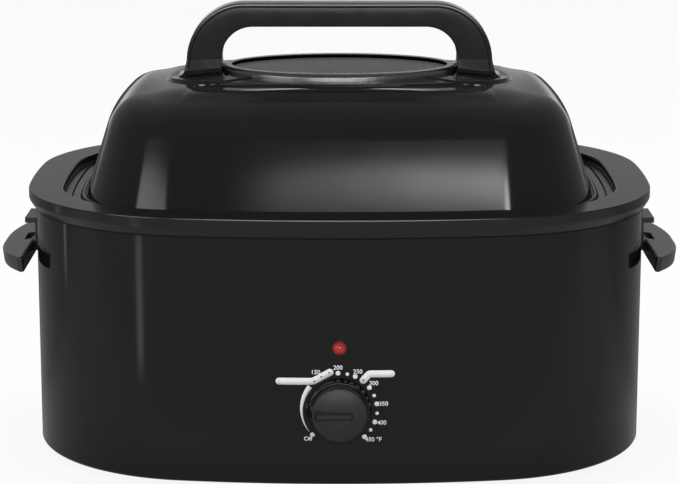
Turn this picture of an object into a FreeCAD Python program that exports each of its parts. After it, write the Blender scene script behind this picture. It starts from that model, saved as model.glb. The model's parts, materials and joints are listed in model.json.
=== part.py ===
import FreeCAD, Part
import math
import os

# Countertop electric roaster oven, in millimetres. +Z is up and -Y is the front, with the knob.
# The origin is on the table, under the centre of the oval casing.
# Every oval piece is drawn on a plan of eight tangent arcs, so that walls and gaps are true offsets.

# ---- casing
foot_height = 8.0
casing_half_width = 260.0
casing_half_depth = 200.0
casing_front_bow = 909.0        # radius of the bowed front and back
casing_end_bow = 949.0          # radius of the bowed ends
casing_corner = 149.0           # radius of the four corners
casing_height = 203.8           # from the base to the collar's seam
casing_wall = 0.9
base_edge_round = 4.0
base_wall = 1.0
base_lip_height = 12.0          # lip of the base, inside the casing

# ---- collar round the top
collar_height = 16.5
collar_overhang = 6.0
collar_foot_overhang = 0.7
collar_slant_height = 8.4
collar_wall = 2.5
collar_edge_round = 3.5
land_at_ends = 23.5             # from the casing's outline in to the opening
land_at_front = 29.0
ledge_width_ends = 8.5
ledge_width_front = 1.3
ledge_drop = 6.3                # below the collar's top
seat_drop = 7.6                 # the pan hangs on the well's flange at this depth
boss_radius = 4.5
boss_inset = 8.0                # from the opening out to the screw bosses
boss_spots = ((0.0, 1.0), (0.0, -1.0), (0.55, 1.0), (0.55, -1.0), (-0.55, 1.0), (-0.55, -1.0))

# ---- lid plan, from the opening in to the dome's foot
recess_at_ends = 20.0
recess_at_front = 6.0
dome_front_bow = 1100.0
dome_end_bow = 1100.0
dome_corner = 92.0

# ---- dome of the lid
sheet = 1.1
lid_flange_reach = 3.2
lid_bead = 2.6
lid_gap = 0.3                   # between the lid's flange and the pan's
dome_lean = 17.5                # degrees from upright
shoulder_height = 81.8
shoulder_round = 43.9
crown_slope = 16.6              # degrees
crown_height = 94.9
crown_round = 110.0
crown_run = 87.0                # how far the formed part of the dome reaches in
platform_half_length = 148.0
platform_half_depth = 88.0
platform_rise = 2.2
platform_round = 1.8

# ---- window in the lid
window_half_length = 93.0
window_half_depth = 61.5
bezel_width_ends = 8.0
bezel_width_front = 11.5
bezel_gap = 0.5                 # to the handle's feet
bezel_height = 5.7
bezel_lip = 1.5
bezel_round = 3.6
glass_thickness = 3.0
gasket_thickness = 1.0
glass_cover = 5.0               # how far the bezel covers the glass
window_gap = 0.3

# ---- lid handle
handle_half_width = 131.5
handle_rise = 59.0              # top of the bar above the platform
handle_bar_height = 19.4
handle_depth = 28.0
handle_outer_round = 49.5
handle_inner_round = 27.0
handle_edge_round = 4.5
handle_foot_flare = 7.5
handle_foot_flare_y = 4.0
handle_foot_height = 12.0
handle_foot_edge = 5.0
handle_foot_round = 4.0
screw_radius = 2.0
screw_fit = 0.05
screw_head_radius = 4.0
screw_head_height = 2.4
handle_screw_length = 20.0
washer_radius = 7.0
washer_thickness = 1.0

# ---- roasting pan and the well round it
pan_wall_inset = 5.0            # pan wall in from the dome's foot
pan_draft = 6.0
pan_floor_height = 52.0
pan_floor_round = 18.0
pan_flange_round = 3.0
pan_flange_gap = 0.9            # to the collar's ledge
pan_seat_gap = 0.3
well_gap = 1.5                  # well wall out from the dome's foot
well_wall = 0.9
well_floor_height = 42.8
well_floor_round = 20.0
overlap = 1.0                   # how far pieces of one pressing run into each other

# ---- roasting rack
rack_wire = 2.0                 # wire radius
rack_inset = 42.0               # frame in from the dome's foot
rack_leg_height = 14.0
rack_long_wires = 9
rack_cross_wires = 3
rack_wire_bite = 0.8            # depth of the welds
rack_leg_share = 0.8            # each leg's place along half a cross wire
rack_handle_half_width = 45.0
rack_handle_rise = 58.0
rack_handle_round = 16.0
rack_gap = 0.3

# ---- heating and insulation
band_bottom = 62.0
band_height = 30.0
band_thickness = 2.0
clamp_width = 12.0
clamp_overreach = 5.0
clamp_thickness = 1.0
clamp_spots = (-110.0, 0.0, 110.0)
insulation_gap = 0.3
insulation_thickness = 6.0
insulation_margin = 14.0        # short of the floor round below and of the flange above
terminal_spread = 55.0
terminal_radius = 5.0
terminal_length = 12.0

# ---- supports under the well
foot_x = 165.0
foot_y = 115.0
foot_radius = 11.0
foot_top_radius = 9.0
foot_recess_radius = 5.0
foot_recess_depth = 3.6
standoff_radius = 6.0
foot_screw_bite = 12.0          # thread length in the standoff

# ---- control knob and thermostat
knob_height = 71.7              # axis above the table
knob_gap = 1.2                  # between the skirt and the casing
knob_skirt_radius = 26.0
knob_skirt_top_radius = 24.2
knob_skirt_top = 6.5            # from the casing
knob_cap_radius = 22.1
knob_cap_edge = 18.0            # from the casing to the rim of the cap
knob_crown = 1.3                # rise of the cap from its rim to its middle
knob_edge_round = 1.6
knob_wall = 2.5
knob_hub_radius = 6.5
ridge_top = 22.0                # from the casing
ridge_base_half_width = 5.0
ridge_top_half_width = 0.9
ridge_left = 18.0               # top edge of the ridge, towards the pointer
ridge_right = 9.5
ridge_end_slope = 4.0
pointer_radius = 27.6
pointer_half_width = 3.3
pointer_tip_height = 4.0
shaft_radius = 3.0
shaft_flat = 2.2                # the flat's distance from the shaft's axis
shaft_fit = 0.05
shaft_grip = 10.0               # length of shaft in the knob
neck_radius = 4.8
neck_hole_fit = 0.2
nut_radius = 7.5
nut_thickness = 2.4
thermostat_width = 44.0
thermostat_height = 34.0
thermostat_depth = 12.0
thermostat_plate = 1.5
thermostat_plate_margin = 5.0
clip_thickness = 0.6

# ---- pilot lamp
lamp_height = 123.0
lens_radius = 5.4
lens_rise = 4.2
lens_flange = 1.0
lens_stem_radius = 4.2
lens_stem_fit = 0.15
push_nut_radius = 7.5
push_nut_thickness = 0.8
lamp_body_radius = 4.2
lamp_body_length = 8.0

# ---- side grips and their brackets
grip_half_length = 91.0
grip_gap = 7.0                  # from the casing's end to the grip
grip_end_width = 4.5
grip_width = 26.8
grip_shoulder_y = 46.0
grip_round = 150.0
grip_end_round = 2.2
grip_top = 173.4
grip_thickness = 13.0
grip_tilt = 7.5                 # degrees, down and outward
grip_edge_round = 2.0
notch_half_width = 14.0
notch_depth = 8.5
knuckle_gap = 0.8
pivot_from_edge = 2.5           # from the grip's inner edge to its pivot axis
pivot_radius = 2.5
pivot_fit = 0.06
pivot_half_length = 28.0
knuckle_round = 4.2
bracket_half_width = 21.0
bracket_bottom = 138.0
bracket_top = 193.0
bracket_plate = 1.5
hood_reach = 13.5
hood_thickness = 4.5
bracket_screw_y = 17.0
bracket_screw_drop = 9.5        # upper screws below the bracket's top
bracket_screw_rise = 5.5        # lower screw above the bracket's bottom
bracket_head_height = 1.4
bracket_head_radius = 3.0
backing_margin = 1.5
backing_thickness = 1.5

# ---- mains connection and wiring
gland_x = 60.0
gland_height = 40.0
gland_radius = 7.0
gland_flange_radius = 11.0
gland_flange = 3.0
gland_reach = 20.0
gland_tip_radius = 5.2
gland_bore = 3.6
gland_nut_radius = 11.0
gland_nut_thickness = 4.0
block_size = (36.0, 16.0, 12.0)
block_place = (60.0, 120.0)
lead_radius = 1.5
lead_height = 27.0
lead_exit_run = 48.0            # straight out of the terminal block
lead_arrival_run = 72.0         # level, behind the thermostat
lead_bend_share = 0.45          # of the shorter run beside a bend
fuse_radius = 2.4
fuse_length = 16.0
fuse_place = (-60.0, -90.0)
fuse_clip_width = 8.0
fuse_clip_wall = 0.8
fuse_clip_ear = 6.0

# ---- worked out from the sizes above
casing_bottom = foot_height + base_edge_round
casing_top = foot_height + casing_height
collar_top = casing_top + collar_height
ledge_top = collar_top - ledge_drop
seat_height = collar_top - seat_drop
pan_flange_z = seat_height + pan_seat_gap
lid_flange_z = pan_flange_z + sheet + lid_gap
dome_foot_z = lid_flange_z + sheet
crown_top = lid_flange_z + crown_height
platform_top = crown_top + platform_rise
handle_top = platform_top + handle_rise
handle_inner_x = window_half_length + bezel_width_ends + bezel_gap
grip_inner_x = casing_half_width + grip_gap
grip_end_x = grip_inner_x + grip_end_width
grip_outer_x = grip_inner_x + grip_width
pivot_x = grip_inner_x + pivot_from_edge
pivot_drop = pivot_from_edge * math.tan(math.radians(grip_tilt))
pivot_z = grip_top - pivot_drop - grip_thickness / 2.0
UP = FreeCAD.Vector(0.0, 0.0, 1.0)
BACK = FreeCAD.Vector(0.0, 1.0, 0.0)
RIGHT = FreeCAD.Vector(1.0, 0.0, 0.0)
FULL_TURN = 360.0
far = 1000.0


def vec(x, y, z):
    """A point or a direction."""
    return FreeCAD.Vector(x, y, z)


class Oval:
    """An oval of eight tangent arcs: bowed front and back, bowed ends and four corners."""

    def __init__(self, half_x, half_y, front_bow, end_bow, corner):
        self.half_x = half_x
        self.half_y = half_y
        self.front_bow = front_bow
        self.end_bow = end_bow
        self.corner = corner

    def offset(self, reach):
        """The same oval, larger by reach all round, with every arc on its own centre."""
        return Oval(
            self.half_x + reach,
            self.half_y + reach,
            self.front_bow + reach,
            self.end_bow + reach,
            self.corner + reach,
        )

    def corner_centre(self):
        """Where the corner arc is tangent to both bows: two circles about the bows' centres meet."""
        front_y = self.half_y - self.front_bow
        end_x = self.half_x - self.end_bow
        front_reach = self.front_bow - self.corner
        end_reach = self.end_bow - self.corner
        apart = math.hypot(end_x, front_y)
        along = (front_reach ** 2 - end_reach ** 2 + apart ** 2) / (2.0 * apart)
        across = math.sqrt(front_reach ** 2 - along ** 2)
        unit_x = end_x / apart
        unit_y = -front_y / apart
        x = unit_x * along + unit_y * across
        y = front_y + unit_y * along - unit_x * across
        return x, y

    def arcs(self):
        """The eight arcs, anticlockwise from the right end: centre x and y, radius, two angles."""
        x, y = self.corner_centre()
        front_y = self.half_y - self.front_bow
        end_x = self.half_x - self.end_bow
        low = math.degrees(math.atan2(y, x - end_x))
        high = math.degrees(math.atan2(y - front_y, x))
        return [
            (end_x, 0.0, self.end_bow, -low, low),
            (x, y, self.corner, low, high),
            (0.0, front_y, self.front_bow, high, 180.0 - high),
            (-x, y, self.corner, 180.0 - high, 180.0 - low),
            (-end_x, 0.0, self.end_bow, 180.0 - low, 180.0 + low),
            (-x, -y, self.corner, 180.0 + low, 180.0 + high),
            (0.0, -front_y, self.front_bow, 180.0 + high, 360.0 - high),
            (x, -y, self.corner, 360.0 - high, 360.0 - low),
        ]

    def face(self, z):
        """The flat oval at height z."""
        edges = []
        for x, y, radius, start, end in self.arcs():
            edges.append(Part.makeCircle(radius, vec(x, y, z), UP, start, end))
        return Part.Face(Part.Wire(edges))

    def prism(self, low, high):
        """The upright oval block between two heights."""
        return self.face(low).extrude(UP * (high - low))

    def band(self, outer, inner, low, high):
        """An upright wall between two offsets of the oval."""
        return self.offset(outer).prism(low, high).cut(self.offset(inner).prism(low, high))

    def swept(self, outline):
        """A section of (offset, height, bend radius) points, turned about each arc's centre."""
        wedges = []
        for x, y, radius, start, end in self.arcs():
            section = rounded_face(outline, lambda u, v, r=radius: vec(r + u, 0.0, v))
            section.rotate(vec(0.0, 0.0, 0.0), UP, start)
            section.translate(vec(x, y, 0.0))
            wedges.append(section.revolve(vec(x, y, 0.0), UP, end - start))
        return wedges[0].multiFuse(wedges[1:])

    def depth_at(self, x):
        """Half the oval's depth at a distance x from its middle, on the bowed front."""
        return self.half_y - self.front_bow + math.sqrt(self.front_bow ** 2 - x ** 2)


def plan_between(from_casing_ends, from_casing_front):
    """A plan between the casing's and the dome's, with bows and corners in proportion."""
    dome_inset = land_at_ends + recess_at_ends + land_at_front + recess_at_front
    share = (from_casing_ends + from_casing_front) / dome_inset
    return Oval(
        casing_half_width - from_casing_ends,
        casing_half_depth - from_casing_front,
        casing_front_bow + (dome_front_bow - casing_front_bow) * share,
        casing_end_bow + (dome_end_bow - casing_end_bow) * share,
        casing_corner + (dome_corner - casing_corner) * share,
    )


def rounded_edges(outline, place):
    """Lines and tangent arcs round a closed outline of (u, v, radius) corners."""
    count = len(outline)
    starts = []
    edges = []
    for index in range(count):
        u, v, radius = outline[index]
        back_u = outline[index - 1][0] - u
        back_v = outline[index - 1][1] - v
        ahead_u = outline[(index + 1) % count][0] - u
        ahead_v = outline[(index + 1) % count][1] - v
        back = math.hypot(back_u, back_v)
        ahead = math.hypot(ahead_u, ahead_v)
        if radius <= 0.0:
            starts.append(((u, v), (u, v), None))
            continue
        cosine = (back_u * ahead_u + back_v * ahead_v) / (back * ahead)
        half = math.acos(max(-1.0, min(1.0, cosine))) / 2.0
        reach = radius / math.tan(half)
        mid_u = back_u / back + ahead_u / ahead
        mid_v = back_v / back + ahead_v / ahead
        mid = math.hypot(mid_u, mid_v)
        sag = radius / math.sin(half) - radius
        starts.append((
            (u + back_u / back * reach, v + back_v / back * reach),
            (u + ahead_u / ahead * reach, v + ahead_v / ahead * reach),
            (u + mid_u / mid * sag, v + mid_v / mid * sag),
        ))
    for index in range(count):
        arrive, leave, middle = starts[index]
        following = starts[(index + 1) % count][0]
        if middle is not None:
            edges.append(Part.Arc(place(*arrive), place(*middle), place(*leave)).toShape())
        if math.hypot(following[0] - leave[0], following[1] - leave[1]) > 1e-6:
            edges.append(Part.LineSegment(place(*leave), place(*following)).toShape())
    return edges


def rounded_face(outline, place):
    """The flat face inside a rounded outline."""
    return Part.Face(Part.Wire(rounded_edges(outline, place)))


def pressed_sheet(path, thickness):
    """A section of constant thickness to the left of a path of (u, v, bend radius) points."""
    count = len(path)
    shifted = []
    for index in range(count):
        u, v, radius = path[index]
        normals = []
        for first, second in ((index - 1, index), (index, index + 1)):
            if first < 0 or second >= count:
                continue
            run_u = path[second][0] - path[first][0]
            run_v = path[second][1] - path[first][1]
            length = math.hypot(run_u, run_v)
            normals.append((-run_v / length, run_u / length))
        if len(normals) == 1:
            shifted.append((u + normals[0][0] * thickness, v + normals[0][1] * thickness, 0.0))
            continue
        sum_u = normals[0][0] + normals[1][0]
        sum_v = normals[0][1] + normals[1][1]
        scale = thickness * 2.0 / (sum_u ** 2 + sum_v ** 2)
        turn = normals[0][0] * normals[1][1] - normals[0][1] * normals[1][0]
        inner = radius - math.copysign(thickness, turn)
        shifted.append((u + sum_u * scale, v + sum_v * scale, inner))
    return list(path) + shifted[::-1]


def ellipse_prism(half_x, half_y, low, high):
    """An upright elliptical block."""
    ellipse = Part.Ellipse(vec(0.0, 0.0, low), half_x, half_y)
    return Part.Face(Part.Wire(ellipse.toShape())).extrude(UP * (high - low))


def box_between(low, high):
    """A block from its lowest corner to its highest."""
    size = [high[axis] - low[axis] for axis in range(3)]
    return Part.makeBox(size[0], size[1], size[2], vec(*low))


def rod(radius, start, end):
    """A round bar between two points."""
    run = end.sub(start)
    return Part.makeCylinder(radius, run.Length, start, run)


def pan_head_screw(tip, head_direction, length, head_radius, head_height):
    """A shank from its tip to the underside of a round head, and the head past it."""
    seat = tip + head_direction * length
    shank = Part.makeCylinder(screw_radius, length, tip, head_direction)
    head = Part.makeCylinder(head_radius, head_height, seat, head_direction)
    return shank.fuse(head).removeSplitter()


def edges_at(shape, test):
    """The edges whose every vertex passes a test."""
    return [edge for edge in shape.Edges if all(test(vertex.Point) for vertex in edge.Vertexes)]


def save(shape, name):
    """Write one node, and print what it is made of."""
    shape.exportStep("parts/" + name + ".step")
    valid = all(solid.isValid() for solid in shape.Solids)
    print(name, len(shape.Solids), "solids", round(shape.Volume / 1000.0, 2), "cm3", valid)


casing = Oval(
    casing_half_width, casing_half_depth, casing_front_bow, casing_end_bow, casing_corner
)
opening = plan_between(land_at_ends, land_at_front)
ledge = plan_between(land_at_ends + ledge_width_ends, land_at_front + ledge_width_front)
pan_rim = ledge.offset(-pan_flange_gap)
dome = plan_between(land_at_ends + recess_at_ends, land_at_front + recess_at_front)
boss_line = opening.offset(boss_inset)
front_face_y = -casing_half_depth
front_inside_y = front_face_y + casing_wall
end_inside_x = casing_half_width - casing_wall
bracket_screw_places = (
    (bracket_screw_y, bracket_top - bracket_screw_drop),
    (-bracket_screw_y, bracket_top - bracket_screw_drop),
    (0.0, bracket_bottom + bracket_screw_rise),
)
foot_places = {
    "front_left": (-foot_x, -foot_y),
    "front_right": (foot_x, -foot_y),
    "rear_left": (-foot_x, foot_y),
    "rear_right": (foot_x, foot_y),
}


def boss_places():
    """The six screw bosses of the collar, on a line outside its opening."""
    places = []
    for share, side in boss_spots:
        x = share * boss_line.half_x
        places.append((x, side * boss_line.depth_at(x)))
    return places


def outer_casing():
    """The painted steel wrapper, open at top and bottom."""
    body = casing.band(0.0, -casing_wall, casing_bottom, casing_top)
    neck = Part.makeCylinder(neck_radius + neck_hole_fit, far, vec(0.0, -far, knob_height), BACK)
    lamp = Part.makeCylinder(lens_stem_radius + lens_stem_fit, far, vec(0.0, -far, lamp_height), BACK)
    gland = Part.makeCylinder(gland_radius + screw_fit, gland_reach, vec(0.0, 0.0, -gland_reach / 2.0), UP)
    body = body.cut(neck).cut(lamp).cut(along_rear(gland))
    for y, z in bracket_screw_places:
        body = body.cut(Part.makeCylinder(screw_radius + screw_fit, 2.0 * far, vec(-far, y, z), RIGHT))
    return body


def base_plate():
    """The pressed bottom, with a rounded edge outside and a lip inside the casing."""
    lip = casing.offset(-casing_wall)
    block = casing.prism(foot_height, casing_bottom)
    bottom_edges = edges_at(block, lambda point: point.z < foot_height + screw_fit)
    block = block.makeFillet(base_edge_round - screw_fit, bottom_edges)
    block = block.fuse(lip.prism(foot_height + base_edge_round, casing_bottom + base_lip_height))
    hollow = lip.offset(-base_wall).prism(foot_height + base_wall, casing_top)
    plate = block.cut(hollow).removeSplitter()
    for x, y in foot_places.values():
        plate = plate.cut(Part.makeCylinder(screw_radius + screw_fit, far, vec(x, y, 0.0), UP))
    return plate


def collar():
    """The wide ring on the casing, with a ledge round the pan and six screw bosses."""
    slant_top = casing_top + collar_slant_height
    rim = collar_overhang
    outline = [
        (collar_foot_overhang, casing_top, 0.0),
        (rim, slant_top, collar_edge_round),
        (rim, collar_top, collar_edge_round),
        (-land_at_front / 2.0, collar_top, 0.0),
        (-land_at_front / 2.0, collar_top - collar_wall, 0.0),
        (rim - collar_wall, collar_top - collar_wall, 0.0),
        (rim - collar_wall, slant_top, 0.0),
        (collar_foot_overhang - collar_wall, casing_top, 0.0),
    ]
    ring = casing.swept(outline)
    top = casing.offset(-land_at_front / 2.0 + overlap).prism(collar_top - collar_wall, collar_top)
    inner = opening.offset(collar_wall).prism(seat_height, collar_top)
    ring = ring.fuse(top).fuse(inner)
    for x, y in boss_places():
        ring = ring.fuse(Part.makeCylinder(boss_radius, collar_top - seat_height - overlap,
                                           vec(x, y, seat_height), UP))
    ring = ring.cut(opening.prism(ledge_top, collar_top + collar_height))
    ring = ring.cut(ledge.prism(casing_top, collar_top))
    for x, y in boss_places():
        ring = ring.cut(Part.makeCylinder(screw_radius + screw_fit,
                                          collar_top - collar_wall - seat_height,
                                          vec(x, y, seat_height), UP))
    return ring.removeSplitter()


def heating_well():
    """The deep steel liner that holds the heat, with the flange that carries the pan."""
    wall = well_gap + well_wall
    path = [
        (wall - well_floor_round - overlap, well_floor_height, 0.0),
        (wall, well_floor_height, well_floor_round),
        (wall, seat_height, 0.0),
    ]
    well = dome.swept(pressed_sheet(path, well_wall))
    floor = dome.offset(wall - well_floor_round).prism(well_floor_height, well_floor_height + well_wall)
    flange = opening.offset(boss_inset + boss_radius).prism(seat_height - well_wall, seat_height)
    flange = flange.cut(dome.offset(well_gap).prism(well_floor_height, collar_top))
    well = well.fuse(floor).fuse(flange).removeSplitter()
    for x, y in boss_places():
        well = well.cut(Part.makeCylinder(screw_radius + screw_fit, far, vec(x, y, casing_bottom), UP))
    return well


def collar_screws():
    """Six screws up through the well's flange into the collar's bosses."""
    tip = collar_top - collar_wall - overlap
    head_z = seat_height - well_wall
    screws = []
    for x, y in boss_places():
        screws.append(pan_head_screw(vec(x, y, tip), -UP, tip - head_z, screw_head_radius,
                                     screw_head_height))
    return Part.makeCompound(screws)


def insulation():
    """A blanket round the well, outside the heating band."""
    inner = well_gap + well_wall + band_thickness + clamp_thickness + insulation_gap
    low = well_floor_height + insulation_margin
    high = seat_height - well_wall - insulation_margin
    blanket = dome.band(inner + insulation_thickness, inner, low, high)
    for x in (-terminal_spread, terminal_spread):
        blanket = blanket.cut(Part.makeCylinder(terminal_radius + insulation_gap, far,
                                                vec(x, 0.0, band_middle()), -BACK))
    return blanket


def band_middle():
    """Height of the middle of the heating band."""
    return band_bottom + band_height / 2.0


def heating_band():
    """The flat element wrapped round the well's wall."""
    inner = well_gap + well_wall
    return dome.band(inner + band_thickness, inner, band_bottom, band_bottom + band_height)


def band_clamps():
    """Straps across the band, spot-welded to the well above and below it."""
    inner = well_gap + well_wall
    outer = inner + band_thickness + clamp_thickness
    low = band_bottom - clamp_overreach
    high = band_bottom + band_height + clamp_overreach
    ring = dome.band(outer, inner, low, high)
    ring = ring.cut(dome.band(inner + band_thickness, inner - overlap, band_bottom,
                              band_bottom + band_height))
    straps = []
    half = clamp_width / 2.0
    for x in clamp_spots:
        for low_y, high_y in ((-far, 0.0), (0.0, far)):
            straps.append(ring.common(box_between((x - half, low_y, low), (x + half, high_y, high))))
    return Part.makeCompound([solid for strap in straps for solid in strap.Solids])


def heater_terminals():
    """Two ceramic posts that bring the element's ends out through the blanket."""
    posts = []
    surface = dome.offset(well_gap + well_wall + band_thickness)
    keep_out = surface.prism(casing_bottom, casing_top)
    for x in (-terminal_spread, terminal_spread):
        start = vec(x, -surface.depth_at(x) + overlap, band_middle())
        post = Part.makeCylinder(terminal_radius, terminal_length + overlap, start, -BACK)
        posts.append(post.cut(keep_out))
    return Part.makeCompound(posts)


def foot(x, y):
    """A tapered rubber foot with a recess for its screw."""
    outline = [
        (screw_radius + screw_fit, foot_recess_depth, 0.0),
        (foot_recess_radius, foot_recess_depth, 0.0),
        (foot_recess_radius, 0.0, 0.0),
        (foot_radius - overlap, 0.0, 0.0),
        (foot_radius, overlap, 0.0),
        (foot_top_radius + overlap, foot_height, 0.0),
        (screw_radius + screw_fit, foot_height, 0.0),
    ]
    section = rounded_face(outline, lambda u, v: vec(u, 0.0, v))
    body = section.revolve(vec(0.0, 0.0, 0.0), UP, FULL_TURN)
    body.translate(vec(x, y, 0.0))
    return body


def standoffs():
    """Four posts between the base and the well's floor."""
    low = foot_height + base_wall
    bore = foot_screw_bite + overlap
    posts = []
    for x, y in foot_places.values():
        post = Part.makeCylinder(standoff_radius, well_floor_height - low, vec(x, y, low), UP)
        posts.append(post.cut(Part.makeCylinder(screw_radius + screw_fit, bore, vec(x, y, low), UP)))
    return Part.makeCompound(posts)


def foot_screws():
    """One screw through each foot and the base into its standoff."""
    tip = foot_height + base_wall + foot_screw_bite
    screws = []
    for x, y in foot_places.values():
        screws.append(pan_head_screw(vec(x, y, tip), -UP, tip - foot_recess_depth,
                                     screw_head_radius, screw_head_height))
    return Part.makeCompound(screws)


def roasting_pan():
    """The lift-out pan: a drawn oval tub with a flat flange."""
    top = -pan_wall_inset
    bottom = top - pan_draft
    path = [
        (bottom - pan_floor_round - overlap, pan_floor_height, 0.0),
        (bottom, pan_floor_height, pan_floor_round),
        (top, pan_flange_z, pan_flange_round),
        (overlap, pan_flange_z, 0.0),
    ]
    tub = dome.swept(pressed_sheet(path, sheet))
    floor = dome.offset(bottom - pan_floor_round).prism(pan_floor_height, pan_floor_height + sheet)
    flange = pan_rim.prism(pan_flange_z, pan_flange_z + sheet)
    flange = flange.cut(dome.prism(pan_flange_z - sheet, pan_flange_z + 2.0 * sheet))
    return tub.fuse(floor).fuse(flange).removeSplitter()


def rack_handle(side):
    """A wire arch across one end of the rack."""
    frame = dome.offset(-rack_inset)
    x = side * (frame.half_x - rack_handle_round)
    low = rack_level()
    high = low + rack_handle_rise
    half = rack_handle_half_width
    path = [
        (-half, low, 0.0),
        (-half, high, rack_handle_round),
        (half, high, rack_handle_round),
        (half, low, 0.0),
    ]
    edges = rounded_edges(path, lambda u, v: vec(x, u, v))[:-1]
    profile = Part.Wire(Part.makeCircle(rack_wire, vec(x, -half, low), UP))
    return Part.Wire(edges).makePipeShell([profile], True, True)


def rack_level():
    """Height of the centre of the rack's frame wire."""
    return pan_floor_height + sheet + rack_gap + rack_leg_height + rack_wire


def roasting_rack():
    """A wire rack on four legs with a lifting arch at each end."""
    frame = dome.offset(-rack_inset)
    level = rack_level()
    edges = [
        Part.makeCircle(radius, vec(x, y, level), UP, start, end)
        for x, y, radius, start, end in frame.arcs()
    ]
    start_edge = edges[0]
    profile = Part.Wire(Part.makeCircle(rack_wire, start_edge.valueAt(start_edge.FirstParameter),
                                        start_edge.tangentAt(start_edge.FirstParameter)))
    rack = Part.Wire(edges).makePipeShell([profile], True, True)
    above = level + 2.0 * rack_wire - rack_wire_bite
    for index in range(rack_long_wires):
        share = (index + 1.0) / (rack_long_wires + 1.0)
        y = frame.half_y * (2.0 * share - 1.0)
        x = frame_reach(frame, y)
        rack = rack.fuse(rod(rack_wire, vec(-x, y, above), vec(x, y, above)))
    for index in range(rack_cross_wires):
        share = (index + 1.0) / (rack_cross_wires + 1.0)
        x = frame.half_x * (2.0 * share - 1.0)
        y = frame.depth_at(x)
        rack = rack.fuse(rod(rack_wire, vec(x, -y, level), vec(x, y, level)))
        for side in (-1.0, 1.0):
            foot_z = pan_floor_height + sheet + rack_gap
            leg_y = side * y * rack_leg_share
            rack = rack.fuse(rod(rack_wire, vec(x, leg_y, foot_z), vec(x, leg_y, level)))
    for side in (-1.0, 1.0):
        x = side * (frame.half_x - rack_handle_round)
        y = rack_handle_half_width + rack_wire
        rack = rack.fuse(rack_handle(side))
        rack = rack.fuse(rod(rack_wire, vec(x, -y, level), vec(x, y, level)))
    return rack


def frame_reach(frame, y):
    """Half the length of a long wire, out to the middle of the frame wire at y."""
    centre_x, centre_y = frame.corner_centre()
    if abs(y) > centre_y:
        return centre_x + math.sqrt(max(0.0, frame.corner ** 2 - (abs(y) - centre_y) ** 2))
    return frame.half_x - frame.end_bow + math.sqrt(frame.end_bow ** 2 - y ** 2)


def lid_shell():
    """The high domed lid, with a flat flange, a raised platform and the window's hole."""
    lean = math.tan(math.radians(dome_lean))
    slope = math.tan(math.radians(crown_slope))
    shoulder_in = shoulder_height * lean
    crown_in = shoulder_in + (crown_height - shoulder_height) / slope
    path = [
        (overlap * lean, lid_flange_z - overlap, 0.0),
        (-shoulder_in, lid_flange_z + shoulder_height, shoulder_round),
        (-crown_in, crown_top, crown_round),
        (-crown_run - overlap, crown_top, 0.0),
    ]
    lid = dome.swept(pressed_sheet(path, sheet))
    lid = lid.cut(dome.offset(overlap).prism(pan_flange_z, lid_flange_z))
    lid = lid.fuse(dome.band(lid_flange_reach - lid_bead / 2.0, -sheet, lid_flange_z, dome_foot_z))
    lid = lid.fuse(dome.swept([
        (lid_flange_reach - lid_bead, lid_flange_z, 0.0),
        (lid_flange_reach, lid_flange_z, lid_bead / 3.0),
        (lid_flange_reach, lid_flange_z + lid_bead, lid_bead / 3.0),
        (lid_flange_reach - lid_bead, lid_flange_z + lid_bead, lid_bead / 3.0),
    ]))
    lid = lid.fuse(dome.offset(-crown_run).prism(crown_top - sheet, crown_top))
    platform = ellipse_prism(platform_half_length, platform_half_depth, crown_top - sheet, platform_top)
    top_edges = edges_at(platform, lambda point: point.z > platform_top - screw_fit)
    platform = platform.makeFillet(platform_round, top_edges)
    lid = lid.fuse(platform)
    lid = lid.cut(ellipse_prism(platform_half_length - sheet - platform_round,
                                platform_half_depth - sheet - platform_round,
                                crown_top - 2.0 * sheet, platform_top - sheet))
    lid = lid.cut(ellipse_prism(window_half_length + window_gap, window_half_depth + window_gap,
                                dome_foot_z, platform_top + handle_rise))
    for side in (-1.0, 1.0):
        lid = lid.cut(Part.makeCylinder(screw_radius + screw_fit, far,
                                        vec(side * handle_screw_x(), 0.0, dome_foot_z), UP))
    return lid.removeSplitter()


def handle_screw_x():
    """Distance of each handle screw from the middle: the centre of an arm."""
    return (handle_half_width + handle_inner_x) / 2.0


def window_gasket():
    """The flat seal between the lid and the glass."""
    low = platform_top
    high = platform_top + gasket_thickness
    outer = ellipse_prism(window_half_length + glass_cover, window_half_depth + glass_cover, low, high)
    inner = ellipse_prism(window_half_length + window_gap, window_half_depth + window_gap, low, high)
    return outer.cut(inner)


def window_glass():
    """The oval pane."""
    low = platform_top + gasket_thickness
    return ellipse_prism(window_half_length + glass_cover, window_half_depth + glass_cover,
                         low, low + glass_thickness)


def window_bezel():
    """The ring that holds the glass down on its seal."""
    high = platform_top + bezel_height
    body = ellipse_prism(window_half_length + bezel_width_ends, window_half_depth + bezel_width_front,
                         platform_top, high)
    top_edges = edges_at(body, lambda point: point.z > high - screw_fit)
    body = body.makeFillet(bezel_round, top_edges)
    body = body.cut(ellipse_prism(window_half_length + glass_cover + window_gap,
                                  window_half_depth + glass_cover + window_gap,
                                  platform_top, high - bezel_lip))
    return body.cut(ellipse_prism(window_half_length, window_half_depth, platform_top, high))


def rounded_rectangle(low, high, radius, z):
    """The outline of a flat rectangle with rounded corners."""
    outline = [
        (low[0], low[1], radius),
        (high[0], low[1], radius),
        (high[0], high[1], radius),
        (low[0], high[1], radius),
    ]
    return Part.Wire(rounded_edges(outline, lambda u, v: vec(u, v, z)))


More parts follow.
